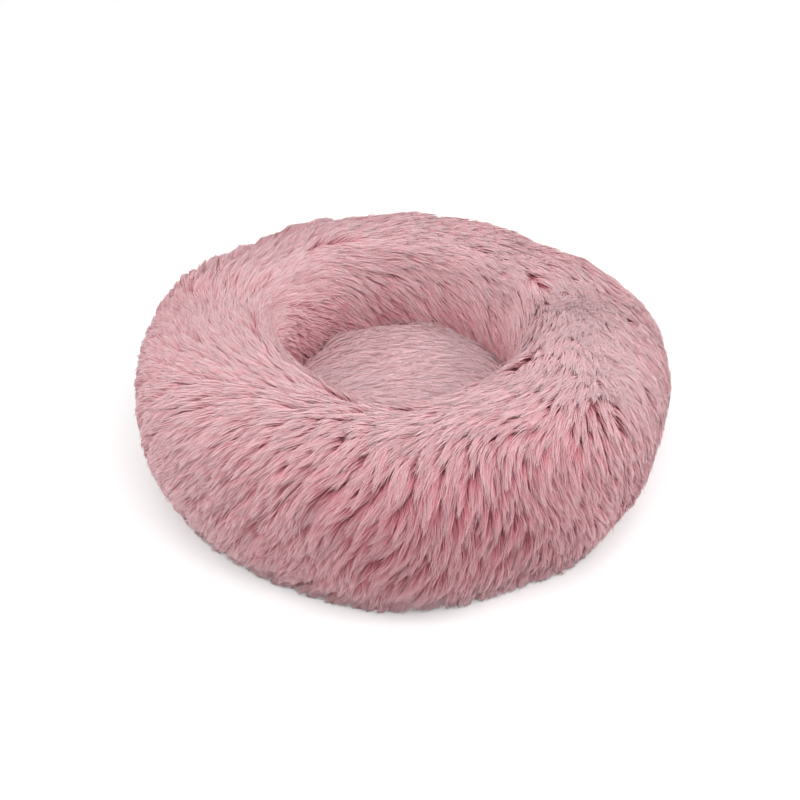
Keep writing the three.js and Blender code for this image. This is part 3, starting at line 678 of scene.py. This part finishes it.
def fur_material(name, root, low, high, tip, dark=0.86):
    """Colour along each strand from root to tip, with changes from lock to lock and strand to strand. The darker root
    and lower colours are painted shade for the gaps between strands and locks; the pale tips are the fur's own colour.
    """
    made, tree, shader = material(name, 0.62, 0, 0.08, 0.03, (1, 0.70, 0.74))
    place = node(tree, "UVMap", uv_map=MAP_NAME).outputs["UV"]
    parts = node(tree, "SeparateXYZ", place)
    # Root and lower stops are painted shade between strands and locks; the upper and tip stops are the fur's own pink
    along = ramp(tree, parts.outputs["Y"], (0.0, root), (0.38, low), (0.70, high), (1.0, tip))
    stretch = node(tree, "Mapping", place, Scale=(1, 0.012, 1)).outputs[0]
    locks = noise(tree, stretch, 26.0, 0.0)
    strands = noise(tree, stretch, 330.0, 1.0)
    tone = ramp(tree, locks, (0.3, (dark, dark * 0.97, dark * 0.97)), (0.7, WHITE))
    fine = ramp(tree, strands, (0.3, (0.85, 0.79, 0.805)), (0.7, WHITE))
    coloured(tree, shader, multiplied(tree, 0.85, multiplied(tree, 0.8, along, tone), fine))
    polished(tree, shader, strands, 0.5, 0.75)
    return made


def underfur_material(name, colour, dark):
    """Short matted fibres: fine streaks over soft patches."""
    made, tree, shader = material(name, 0.9, 0, 0.08, 0.1, colour)
    place = object_space(tree)
    fibres = noise(tree, place, 900.0, 2.0, 1.5)
    tone = ramp(tree, noise(tree, place, 160.0, 3.0), (0.3, dark), (0.7, colour))
    fine = ramp(tree, fibres, (0.3, (0.7, 0.62, 0.64)), (0.7, WHITE))
    coloured(tree, shader, multiplied(tree, 1.0, tone, fine))
    raised(tree, shader, fibres, 0.6, 0.0012)
    return made


def cloth_material(name, colour, dark, size, roughness, bump, sheen, mottle):
    """A woven or knitted cloth: crossing threads, slight changes of tone and a fine bump. size is a thread's width."""
    made, tree, shader = material(name, roughness, 0, 0.25, sheen, colour)
    place = object_space(tree)
    threads = [
        node(
            tree, "TexWave", place, bands_direction=direction, Scale=math.pi / (10 * size),
            Distortion=0.6, **{"Detail Scale": 40},
        ).outputs["Fac"]
        for direction in ("X", "Y")
    ]
    weave = node(tree, "Math", *threads, operation="MAXIMUM").outputs[0]
    tone = ramp(tree, weave, (0.35, dark), (0.95, colour))
    worn = ramp(tree, noise(tree, place, 45.0, 4.0), (0.3, (1 - mottle,) * 3), (0.7, WHITE))
    coloured(tree, shader, multiplied(tree, 1.0, tone, worn))
    raised(tree, shader, weave, bump, size / 2)
    return made


def hard_material(name, colour, metallic, specular, grain, patches, stops, dark, polish, bump):
    """Nylon, or brushed die-cast metal: fine grain or long scratches, and slightly dull patches.

    grain is how it is stretched, its scale and its detail. patches is their scale and detail.
    """
    made, tree, shader = material(name, 0.4, metallic, specular)
    place = object_space(tree)
    stretch = node(tree, "Mapping", place, Scale=grain[0]).outputs[0]
    fine = noise(tree, stretch, *grain[1:])
    tones = tuple(dark * c for c in colour), colour
    coloured(tree, shader, ramp(tree, noise(tree, place, *patches), *zip(stops, tones)))
    polished(tree, shader, fine, *polish)
    raised(tree, shader, fine, *bump)
    return made


# The ring's fur: its deep rose root and lower colours are painted shade between strands and locks, its pale pink tips
# its own colour
RING_FUR = fur_material(
    "ring_fur", (0.50, 0.11, 0.14), (0.76, 0.30, 0.345), (0.925, 0.605, 0.635), (0.95, 0.78, 0.795)
)
# The cushion's fur is a lighter copy of the ring's: less painted shade at its roots, and painted lighter where the
# cushion faces up into the light
CUSHION_FUR = fur_material(
    "cushion_fur", (0.64, 0.22, 0.265), (0.85, 0.43, 0.48), (0.96, 0.665, 0.695), (0.975, 0.79, 0.81), 0.94
)
# The underfur is a real matted layer, but its darker rose is painted shade for the gaps between locks
BACKING = underfur_material("underfur", (0.66, 0.25, 0.295), (0.46, 0.13, 0.165))
FIBRE = underfur_material("fibre", (0.93, 0.92, 0.90), (0.80, 0.79, 0.77))
BASE_CLOTH = cloth_material("base_cloth", (0.30, 0.28, 0.285), (0.15, 0.14, 0.145), 0.0007, 0.85, 0.5, 0.1, 0.16)
DOT_RUBBER = cloth_material("grip_dots", (0.16, 0.15, 0.153), (0.13, 0.12, 0.123), 0.0004, 0.5, 0.08, 0.0, 0.12)
PAD_CLOTH = cloth_material("pad_cloth", (0.72, 0.69, 0.65), (0.56, 0.53, 0.50), 0.0006, 0.9, 0.3, 0.1, 0.12)
TAPE_CLOTH = cloth_material("seam_tape", (0.53, 0.26, 0.285), (0.34, 0.15, 0.17), 0.0008, 0.85, 0.5, 0.1, 0.15)
ZIP_CLOTH = cloth_material("zip_tape", (0.50, 0.23, 0.26), (0.33, 0.14, 0.16), 0.0005, 0.8, 0.5, 0.1, 0.12)
LINER_CLOTH = cloth_material("liner", (0.86, 0.84, 0.80), (0.74, 0.72, 0.68), 0.0016, 0.85, 0.4, 0.1, 0.1)
THREAD = cloth_material("thread", (0.62, 0.34, 0.37), (0.42, 0.20, 0.22), 0.0003, 0.6, 0.2, 0.1, 0.1)
NYLON = hard_material(
    "zip_nylon", (0.45, 0.18, 0.21), 0, 0.4, ((1, 1, 1), 700.0, 3.0), (60.0, 2.0), (0.3, 0.7), 0.8,
    (0.35, 0.6), (0.15, 0.0002),
)
METAL = hard_material(
    "zip_metal", (0.62, 0.61, 0.60), 1.0, 0.5, ((60, 2200, 2200), 1.0, 2.0), (220.0, 3.0), (0.35, 0.65), 0.75,
    (0.22, 0.5), (0.12, 0.0001),
)


# The covers: a knitted backing with the dense underfur on it, and the long pile in sectors

def underfur(x, y, z):
    """How far the matted underfur stands above or below its mean, in metres."""
    fine = np.sin(410 * x + 260 * y) * np.sin(330 * z - 300 * x) + np.sin(520 * y - 210 * z) * np.sin(450 * x + 190 * y)
    return 0.0011 * fine


def cover_backing(kind, skin, lining):
    shell = np.concatenate([skin, lining[:, ::-1]], 1)
    mesh = grid_mesh(f"{kind}_fur_backing", shell)
    piece(mesh, BACKING, f"{kind}_fur_cover")


def cover_pile(kind, number, here, strands, fur):
    mesh = strand_mesh(f"{kind}_fur_pile_{number}", *(v[here] for v in strands))
    piece(mesh, fur, f"{kind}_fur_cover")


rows, columns = BACKING_GRID
angle, share = (v.ravel() for v in np.meshgrid(turn_steps(rows), np.linspace(0, 1, columns), indexing="ij"))
place, _, _, normal = ring.at(angle, share)
edge = ease(np.minimum(share, 1 - share), 0.0, 0.05)
sunken = SHAGGY_SINK * shagginess(angle, share) - PARTING_RISE * near_parting(place) ** 0.5
depth = UNDERFUR_DEPTH + underfur(*place.T) - tuft_rise(angle, share) + sunken
depth = PILE_DEPTH + (depth.clip(0.0, PILE_DEPTH - LEAST_BACKING) - PILE_DEPTH) * edge
skin = (place - normal * depth[:, None]).reshape(rows, columns, 3)
lining = (place - normal * (PILE_DEPTH + BACKING_THICKNESS)).reshape(rows, columns, 3)
cover_backing("ring", skin, lining)

guide, ways, normals, length, clump, start, painted_shade = ring_guides(RING_LOCKS)
places, sides, ups = locks_to_strands(guide, ways, normals, length, clump, LOCK_SPREAD)
off_floor(places)
map_at = bundle_maps(len(guide), painted_shade)
width = STRAND_WIDTH * rng.uniform(0.75, 1.25, len(places))
sector = np.repeat((start % TURN) / TURN * RING_SECTORS, STRANDS_PER_LOCK).astype(int)
for n in range(RING_SECTORS):
    cover_pile("ring", f"{n + 1:02d}", sector == n, (places, sides, ups, width, map_at), RING_FUR)

far, turn = np.meshgrid(np.linspace(0.0, 1, 30) ** 0.8, turn_steps(96))
x, y = CUSHION_RADIUS * 0.975 * far * np.cos(turn), CUSHION_RADIUS * 0.975 * far * np.sin(turn)
z, normal = crown(x, y)
place = np.stack([x, y + NEST_SHIFT, z], -1)
skin = place - normal * (UNDERFUR_DEPTH + underfur(x, y, z))[..., None]
lining = place - normal * (PILE_DEPTH + BACKING_THICKNESS)
cover_backing("cushion", skin, lining)

guide, ways, normals, length, clump = cushion_guides(CUSHION_LOCKS)
places, sides, ups = locks_to_strands(guide, ways, normals, length, clump, LOCK_SPREAD * 0.9)
# A little painted shade, the same over the whole cushion
map_at = bundle_maps(CUSHION_LOCKS, np.full(CUSHION_LOCKS, 0.12))
width = STRAND_WIDTH * rng.uniform(0.75, 1.2, len(places))
sector = np.arange(len(places)) * CUSHION_SECTORS // len(places)
for n in range(CUSHION_SECTORS):
    cover_pile("cushion", n + 1, sector == n, (places, sides, ups, width, map_at), CUSHION_FUR)


# The base: sheets of cloth, quilted pads, tapes and the zip, in metres, as in part.mjs

SEAT = 0.0003
CLOTH_LEVELS = (0.0015, 0.0025)
CLOTH_LAP = 0.002
PAD_LEVELS = (0.0028, 0.0098)
BINDING_WIDTH = 0.005
ZIP_LINE = 0.1144
SLOT_HALF_WIDTH = 0.009
SLOT_HALF_LENGTH = 0.171
HEM_WIDTH = 0.008
HEM_TOP = 0.00665
HEM_REACH = {"front": 0.1864, "rear": 0.169}
TAPE_REACH = 0.0175
TAPE_HALF_LENGTH = 0.16865
TAPE_LEVELS = (0.00695, 0.00745)
TAPE_INNER = 0.0037
PARTING_AT = (0.134, 0.139)
CHAIN_SPREAD = 0.0028
DOT_PITCH = 0.0125
DOT_RADIUS = 0.0025
NEST_TAPE_HALF = 0.011
NEST_TAPE_THICKNESS = 0.002
# Of the scene alone: the cloth's sheets, their hems, stitches and dots, the quilting and the binding
CLOTH_THIN = 0.0002
CLOTH_SAG = 0.00008
HEM_POINTS = 180
HEM_SIDES = 16
STITCH_PITCH = 0.0034
STITCH_WIDTH = 0.0009
DOT_TO_EDGE = 0.006
DOT_TO_HEM = 0.0035
QUILT_PITCH = 0.042
QUILT_SEAM = 0.0035
BINDING_THICKNESS = 0.0006
BINDING_CLEAR = 0.0008


def base_radius(angle):
    return BASE_RADIUS + FOOT_FOLLOW * BED_RADIUS * lobe_sum(angle, OUTLINE_LOBES)


def nest_radius(angle):
    return shifted_radius(angle, NEST_RADIUS, NEST_SHIFT)


def panel_edges(side, grow, away, columns, slot_end=math.inf):
    """The two long edges of what lies in front of the zip, or behind it. Both sides meet beyond the slot's end."""
    wide = base_radius(np.array([0.0, math.pi])) + grow
    x = np.linspace(-wide[1], wide[0], 4000)
    angle = np.linspace(0, TURN, 2880)
    radius = base_radius(angle) + grow
    px, py = radius * np.cos(angle), radius * np.sin(angle)
    outline = []
    for half in (py < 0, py >= 0):
        order = np.argsort(px[half])
        outline.append(np.interp(x, px[half][order], py[half][order]))
    low, high = outline
    edge = ZIP_LINE + side * np.where(np.abs(x) > slot_end, SEAT, away)
    if side < 0:
        high = np.minimum(high, edge)
    else:
        low = np.maximum(low, edge)
    inside = x[high - low > 0.002]
    middle, half = (inside[0] + inside[-1]) / 2, (inside[-1] - inside[0]) / 2
    at = middle + half * np.sin(np.linspace(-math.pi / 2, math.pi / 2, columns))
    return at, np.interp(at, x, low), np.interp(at, x, high)


def slab(name, x, y_low, y_high, rows, z_low, z_high):
    """A closed sheet between two long edges. z_low and z_high are functions of x and y."""
    v = np.linspace(0, 1, rows)
    px = np.broadcast_to(x[:, None], (len(x), rows))
    py = y_low[:, None] + (y_high - y_low)[:, None] * v
    places = np.stack([np.stack([px, py, level(px, py)], -1) for level in (z_high, z_low)])
    count = len(x) * rows
    index = np.arange(count).reshape(len(x), rows)
    square = [index[:-1, :-1], index[1:, :-1], index[1:, 1:], index[:-1, 1:]]
    faces = [np.stack(square, -1).reshape(-1, 4), count + np.stack(square[::-1], -1).reshape(-1, 4)]
    rim = np.concatenate([index[:-1, 0], index[-1, :-1], index[:0:-1, -1], index[0, :0:-1]])
    after = np.roll(rim, -1)
    faces.append(np.stack([after, rim, count + rim, count + after], -1))
    return smooth_mesh(name, places, np.concatenate(faces))


def repeated(name, form, places):
    """One small closed form, set at each place. places is n x 4 x 3: an origin and three axes."""
    verts, faces = form
    at = places[:, :1] + np.einsum("vk,nkc->nvc", verts, places[:, 1:])
    every = np.array(faces)[None] + len(verts) * np.arange(len(places))[:, None, None]
    return smooth_mesh(name, at, every.reshape(-1, 3))


def turned_form(profile, sides):
    """A closed form turned about its third axis, as points and triangles. profile holds radii and heights."""
    verts = [(0, 0, profile[0][1])]
    for radius, height in profile[1:-1]:
        verts += [(radius * math.cos(a), radius * math.sin(a), height) for a in turn_steps(sides)]
    verts.append((0, 0, profile[-1][1]))
    rings = np.arange(1, len(verts) - 1).reshape(-1, sides)
    after = np.roll(rings, -1, 1)
    faces = [(0, b, a) for a, b in zip(rings[0], after[0])]
    for a, b, c, d in zip(rings[:-1].flat, after[:-1].flat, after[1:].flat, rings[1:].flat):
        faces += [(a, b, c), (a, c, d)]
    faces += [(a, b, len(verts) - 1) for a, b in zip(rings[-1], after[-1])]
    return np.array(verts, float), faces


STITCH = turned_form([(0, -1), (0.7, -0.8), (1, -0.3), (1, 0.3), (0.7, 0.8), (0, 1)], 6)
GRIP_DOT = turned_form([(0, 0), (0.45, 0.02), (0.82, 0.25), (1, 0.7), (1, 1), (0, 1)], 10)


def stitches(name, node_name, line, proud=0.0004):
    """Sewn stitches along a line of points, end to end with small gaps."""
    along = np.concatenate([[0], np.linalg.norm(np.diff(line, axis=0), axis=1).cumsum()])
    count = int(along[-1] / STITCH_PITCH)
    middle = (np.arange(count) + 0.5) * along[-1] / count
    at, ahead = (np.stack([np.interp(s, along, v) for v in line.T], -1) for s in (middle, middle + 0.0005))
    way = unit(ahead - at)
    up = np.broadcast_to(np.array([0.0, 0.0, 1.0]), way.shape)
    cross = np.cross(up, way)
    places = np.stack([at, cross * STITCH_WIDTH / 2, up * proud, way * STITCH_PITCH * 0.42], 1)
    return piece(repeated(name, STITCH, places), THREAD, node_name)


def sag(x, y):
    return CLOTH_SAG * (np.sin(90 * x + 40 * y) + np.sin(70 * y - 55 * x))


def puff(x, y):
    """How far the quilting swells, from the seams along both diagonals to the middle between them."""
    swell = []
    for diagonal in (x + y, x - y):
        away = np.abs((diagonal / (QUILT_PITCH * math.sqrt(2)) + 0.5) % 1 - 0.5) * QUILT_PITCH
        swell.append(1 - np.exp(-((away / QUILT_SEAM) ** 1.2)))
    return 0.42 + 0.58 * np.minimum(*swell) ** 0.5


def hem_rows(side, along):
    """The hem's points: a flattened roll along the slot's edge, thinner at both ends."""
    middle = ZIP_LINE + side * (SLOT_HALF_WIDTH + HEM_WIDTH / 2)
    turn = turn_steps(HEM_SIDES)
    cos, sin = np.cos(turn), np.sin(turn)
    across = HEM_WIDTH / 2 * np.sign(cos) * np.abs(cos) ** 0.5
    level = (CLOTH_LEVELS[0] + HEM_TOP) / 2 + (HEM_TOP - CLOTH_LEVELS[0]) / 2 * np.sign(sin) * np.abs(sin) ** 0.5
    x = along[:, None]
    ease_in = np.minimum(1, 0.55 + (along[-1] - np.abs(x)) / 0.004)
    return np.stack([
        np.broadcast_to(x, (HEM_POINTS, HEM_SIDES)),
        middle + across * ease_in,
        HEM_TOP + (level - HEM_TOP) * (0.985 + 0.015 * np.cos(x * 400)),
    ], -1)


def dot_places(side):
    """Where the grip dots stand in front of the zip or behind it, in rows half a pitch apart."""
    row, column = np.meshgrid(np.arange(-26, 27), np.arange(-24, 25))
    x = ((column + (row % 2) / 2) * DOT_PITCH).ravel()
    y = (row * (DOT_PITCH * math.sin(math.pi / 3))).ravel()
    kept = np.hypot(x, y) < base_radius(np.arctan2(y, x)) - DOT_TO_EDGE
    kept &= side * (y - ZIP_LINE) > SLOT_HALF_WIDTH + HEM_WIDTH + DOT_TO_HEM
    at = np.stack([x[kept], y[kept], np.zeros(kept.sum())], -1)
    axes = np.diag([DOT_RADIUS, DOT_RADIUS, CLOTH_LEVELS[0] + 0.0004])
    return np.concatenate([at[:, None], np.broadcast_to(axes, (len(at), 3, 3))], 1)


for name, side in (("front", -1), ("rear", 1)):
    cloth_node = f"base_cloth_{name}"
    x, y_low, y_high = panel_edges(side, CLOTH_LAP, SLOT_HALF_WIDTH, 120, SLOT_HALF_LENGTH)
    mesh = slab(
        f"base_cloth_{name}_sheet", x, y_low, y_high, 60 if side < 0 else 24,
        lambda px, py: CLOTH_LEVELS[0] + CLOTH_THIN + sag(px, py),
        lambda px, py: CLOTH_LEVELS[1] - CLOTH_THIN + sag(px, py),
    )
    cloth = piece(mesh, BASE_CLOTH, cloth_node)
    along = np.linspace(-HEM_REACH[name], HEM_REACH[name], HEM_POINTS)
    mesh = closed(grid_mesh(f"base_hem_{name}", hem_rows(side, along), wrap=False))
    hem = piece(mesh, BASE_CLOTH, cloth_node)
    for row, share_across in enumerate((0.25, 0.75)):
        away = ZIP_LINE + side * (SLOT_HALF_WIDTH + HEM_WIDTH * share_across)
        line = np.stack([along, np.full(HEM_POINTS, away), np.full(HEM_POINTS, CLOTH_LEVELS[0])], -1)
        stitches(f"base_hem_{name}_stitches_{row + 1}", cloth_node, line)
    dots = piece(repeated(f"grip_dots_{name}", GRIP_DOT, dot_places(side)), DOT_RUBBER, cloth_node)

    edges = panel_edges(side, -BINDING_WIDTH - SEAT * 2 - 0.001, TAPE_REACH + SEAT * 2, 150)
    middle, half = sum(PAD_LEVELS) / 2, (PAD_LEVELS[1] - PAD_LEVELS[0]) / 2
    mesh = slab(
        f"base_pad_{name}_quilted", *edges, 110 if side < 0 else 40,
        lambda px, py: middle - half * puff(px, py), lambda px, py: middle + half * puff(px, py),
    )
    piece(mesh, PAD_CLOTH, f"base_pad_{name}")

    x = np.concatenate([
        np.linspace(-TAPE_HALF_LENGTH, PARTING_AT[0], 60), np.linspace(PARTING_AT[1], TAPE_HALF_LENGTH, 12)
    ])
    parted = CHAIN_SPREAD * ((x - PARTING_AT[0]) / (PARTING_AT[1] - PARTING_AT[0])).clip(0, 1)
    inner, outer = ZIP_LINE + side * (TAPE_INNER + parted), np.full(len(x), ZIP_LINE + side * TAPE_REACH)
    mesh = slab(
        f"zip_tape_{name}_woven", x, np.minimum(inner, outer), np.maximum(inner, outer), 10,
        lambda px, py: TAPE_LEVELS[0] + 0 * px, lambda px, py: TAPE_LEVELS[1] + 0 * px,
    )
    tape = piece(mesh, ZIP_CLOTH, f"zip_tape_{name}")


def band(name, path, thickness, radius_at, steps):
    """A tape carried round the bed. path is the line of its section, as distances from the radius and heights."""
    way = unit(np.gradient(path, axis=0))
    inward = np.stack([-way[:, 1], way[:, 0]], -1) * thickness
    loop = np.concatenate([path, (path + inward)[::-1]])
    angle = turn_steps(steps)
    radius = radius_at(angle)[:, None] + loop[:, 0]
    places = round_axis(radius, angle[:, None], np.broadcast_to(loop[:, 1], radius.shape))
    return grid_mesh(name, places)


fold = np.linspace(-math.pi / 2, math.pi / 2, 9)
half = (PAD_LEVELS[1] - PAD_LEVELS[0]) / 2
round_fold = [-BINDING_WIDTH * 0.5 + BINDING_WIDTH * 0.5 * np.cos(fold), PAD_LEVELS[0] + half + half * np.sin(fold)]
binding_path = np.concatenate([
    [(-BINDING_WIDTH, PAD_LEVELS[0]), (-BINDING_WIDTH * 0.75, PAD_LEVELS[0])],
    np.stack(round_fold, -1),
    [(-BINDING_WIDTH * 0.75, PAD_LEVELS[1]), (-BINDING_WIDTH, PAD_LEVELS[1])],
])
mesh = band(
    "base_seam_binding_folded", binding_path, BINDING_THICKNESS, lambda a: base_radius(a) - SEAT - BINDING_CLEAR, 200
)
binding = piece(mesh, TAPE_CLOTH, "base_seam_binding")
round_it = float(base_radius(np.linspace(0, TURN, 400)).mean() * TURN)

tape_low = NEST_SEAM_HEIGHT - SEAT - NEST_TAPE_THICKNESS
tape_path = np.stack([np.linspace(-NEST_TAPE_HALF, NEST_TAPE_HALF, 9), np.full(9, tape_low)], -1)
mesh = band("nest_seam_tape_woven", tape_path, NEST_TAPE_THICKNESS, nest_radius, 120)
seam_tape = piece(mesh, TAPE_CLOTH, "nest_seam_tape")
angle = np.linspace(0, TURN, 200)
for row, away in enumerate((-0.006, 0.006)):
    line = round_axis(nest_radius(angle) + away, angle, np.full(200, tape_low))
    stitches(f"nest_seam_stitches_{row + 1}", "nest_seam_tape", line, proud=0.0003)


# The liners and their filling, drawn in a little between the seams

def crumple(places, fine):
    x, y, z = places.T
    total = np.sin(61 * x + 33 * z + 1) + np.sin(57 * y - 41 * z + 2) + np.sin(83 * x - 71 * y)
    total += 0.7 * (np.sin(fine * x + 0.6 * fine * y) * np.sin(fine * z - 0.4 * fine * x))
    return (total / 3.7 + 1) / 2


def drawn_in(node_name, name, core_at, low, high, fine, material):
    """A finer copy of a soft solid, drawn in towards its core, so it stays clear of what lies round it."""
    mesh = nodes[node_name].data.copy()
    mesh.name = name
    mesh.materials.clear()
    form = bmesh.new()
    form.from_mesh(mesh)
    bmesh.ops.remove_doubles(form, verts=form.verts, dist=1e-6)
    bmesh.ops.subdivide_edges(form, edges=form.edges, cuts=2, use_grid_fill=True)
    form.to_mesh(mesh)
    form.free()
    places = np.empty(len(mesh.vertices) * 3)
    mesh.vertices.foreach_get("co", places)
    places = places.reshape(-1, 3)
    inward = unit(core_at(places) - places)
    places = places + inward * (low + (high - low) * crumple(places, fine))[:, None]
    mesh.vertices.foreach_set("co", places.ravel())
    mesh.shade_smooth()
    mesh.update()
    piece(mesh, material, node_name)


def ring_core(places):
    """The nearest place on the circle in the middle of the ring's section."""
    x, y, _ = places.T
    away = np.hypot(x, y).clip(1e-6)
    return np.stack([0.2 * x / away, 0.2 * y / away, np.full(len(x), 0.095)], -1)


def cushion_core(places):
    """A place on a smaller disc inside the cushion."""
    x, y, _ = places.T
    return np.stack([0.6 * x, NEST_SHIFT + 0.6 * (y - NEST_SHIFT), np.full(len(x), 0.06)], -1)


for kind, core_at in (("ring", ring_core), ("cushion", cushion_core)):
    drawn_in(f"{kind}_liner", f"{kind}_liner_bag", core_at, 0.0, 0.0012, 190, LINER_CLOTH)
    drawn_in(f"{kind}_fibre_fill", f"{kind}_fibre_filling", core_at, 0.0012, 0.004, 240, FIBRE)

# The zip's hard pieces keep their solids, with finer finishes
for name, finish in (
    ("zip_teeth_front", NYLON), ("zip_teeth_rear", NYLON), ("zip_slider", METAL), ("zip_pull_tab", METAL),
    ("zip_top_stop_front", METAL), ("zip_top_stop_rear", METAL), ("zip_bottom_stop", METAL),
):
    for place in nodes[name].material_slots:
        place.material = finish


# Floor, light and camera

FLOOR_REACH = 2.5
FLOOR_TONE = 0.82
FLOOR_GLOW = 0.28
SKY_LIGHT = (0.22, 0.46)
CAMERA_AIM = Vector((-0.0028, 0, 0.105))
CAMERA_CLIMB = math.radians(36)
CAMERA_AWAY = 3.2
CAMERA_LENS = 128.4


def seen_straight(tree):
    """1 for what the camera sees straight or mirrored, 0 for the light that falls on the bed."""
    rays = node(tree, "LightPath").outputs
    return node(tree, "Math", rays["Is Camera Ray"], rays["Is Glossy Ray"], operation="MAXIMUM").outputs[0]


def turned_to(thing, target):
    thing.rotation_euler = (target - thing.location).to_track_quat("-Z", "Y").to_euler()
    scene.collection.objects.link(thing)


def area_light(name, place, size, power):
    lamp = bpy.data.lights.new(name, "AREA")
    lamp.shape = "RECTANGLE"
    lamp.size = lamp.size_y = size
    lamp.energy = power
    thing = bpy.data.objects.new(name, lamp)
    thing.location = place
    turned_to(thing, Vector((0, 0, 0.1)))


floor_paint, tree, shader = material("floor_paint", 0.9, specular=0.0)
shader.inputs["Base Color"].default_value = (FLOOR_TONE, FLOOR_TONE, FLOOR_TONE, 1)
shader.inputs["Emission Color"].default_value = (*WHITE, 1)
glow = node(tree, "Math", seen_straight(tree), operation="MULTIPLY")
glow.inputs[1].default_value = FLOOR_GLOW
tree.links.new(glow.outputs[0], shader.inputs["Emission Strength"])
corners = FLOOR_REACH * np.array([[-1, -1, 0], [1, -1, 0], [1, 1, 0], [-1, 1, 0]])
floor = link(smooth_mesh("floor", corners, np.array([[0, 1, 2, 3]])), floor_paint)

world = bpy.data.worlds.new("studio")
scene.world = world
world.use_nodes = True
tree = world.node_tree
tree.nodes.clear()
sky = node(tree, "TexCoord").outputs["Generated"]
height = node(tree, "SeparateXYZ", sky).outputs["Z"]
brightness = node(tree, "MapRange", height, **{"To Min": SKY_LIGHT[0], "To Max": SKY_LIGHT[1]})
lighting = node(tree, "Background", Color=(*WHITE, 1))
tree.links.new(brightness.outputs["Result"], lighting.inputs["Strength"])
plain = node(tree, "Background", Color=(*WHITE, 1), Strength=1.0)
both = node(tree, "MixShader", seen_straight(tree), lighting.outputs[0], plain.outputs[0])
node(tree, "OutputWorld", both.outputs[0])

area_light("key", (0.15, -1.1, 2.2), 2.0, 41.5)
area_light("side_right", (2.3, -0.1, 1.2), 1.4, 28)
area_light("side_left", (-2.3, -0.1, 1.2), 1.4, 25)

camera = bpy.data.cameras.new("camera")
camera.sensor_width = 36
camera.lens = CAMERA_LENS
view = bpy.data.objects.new("camera", camera)
view.location = CAMERA_AIM + Vector((0, -math.cos(CAMERA_CLIMB), math.sin(CAMERA_CLIMB))) * CAMERA_AWAY
turned_to(view, CAMERA_AIM)
scene.camera = view
scene.view_settings.view_transform = "Standard"
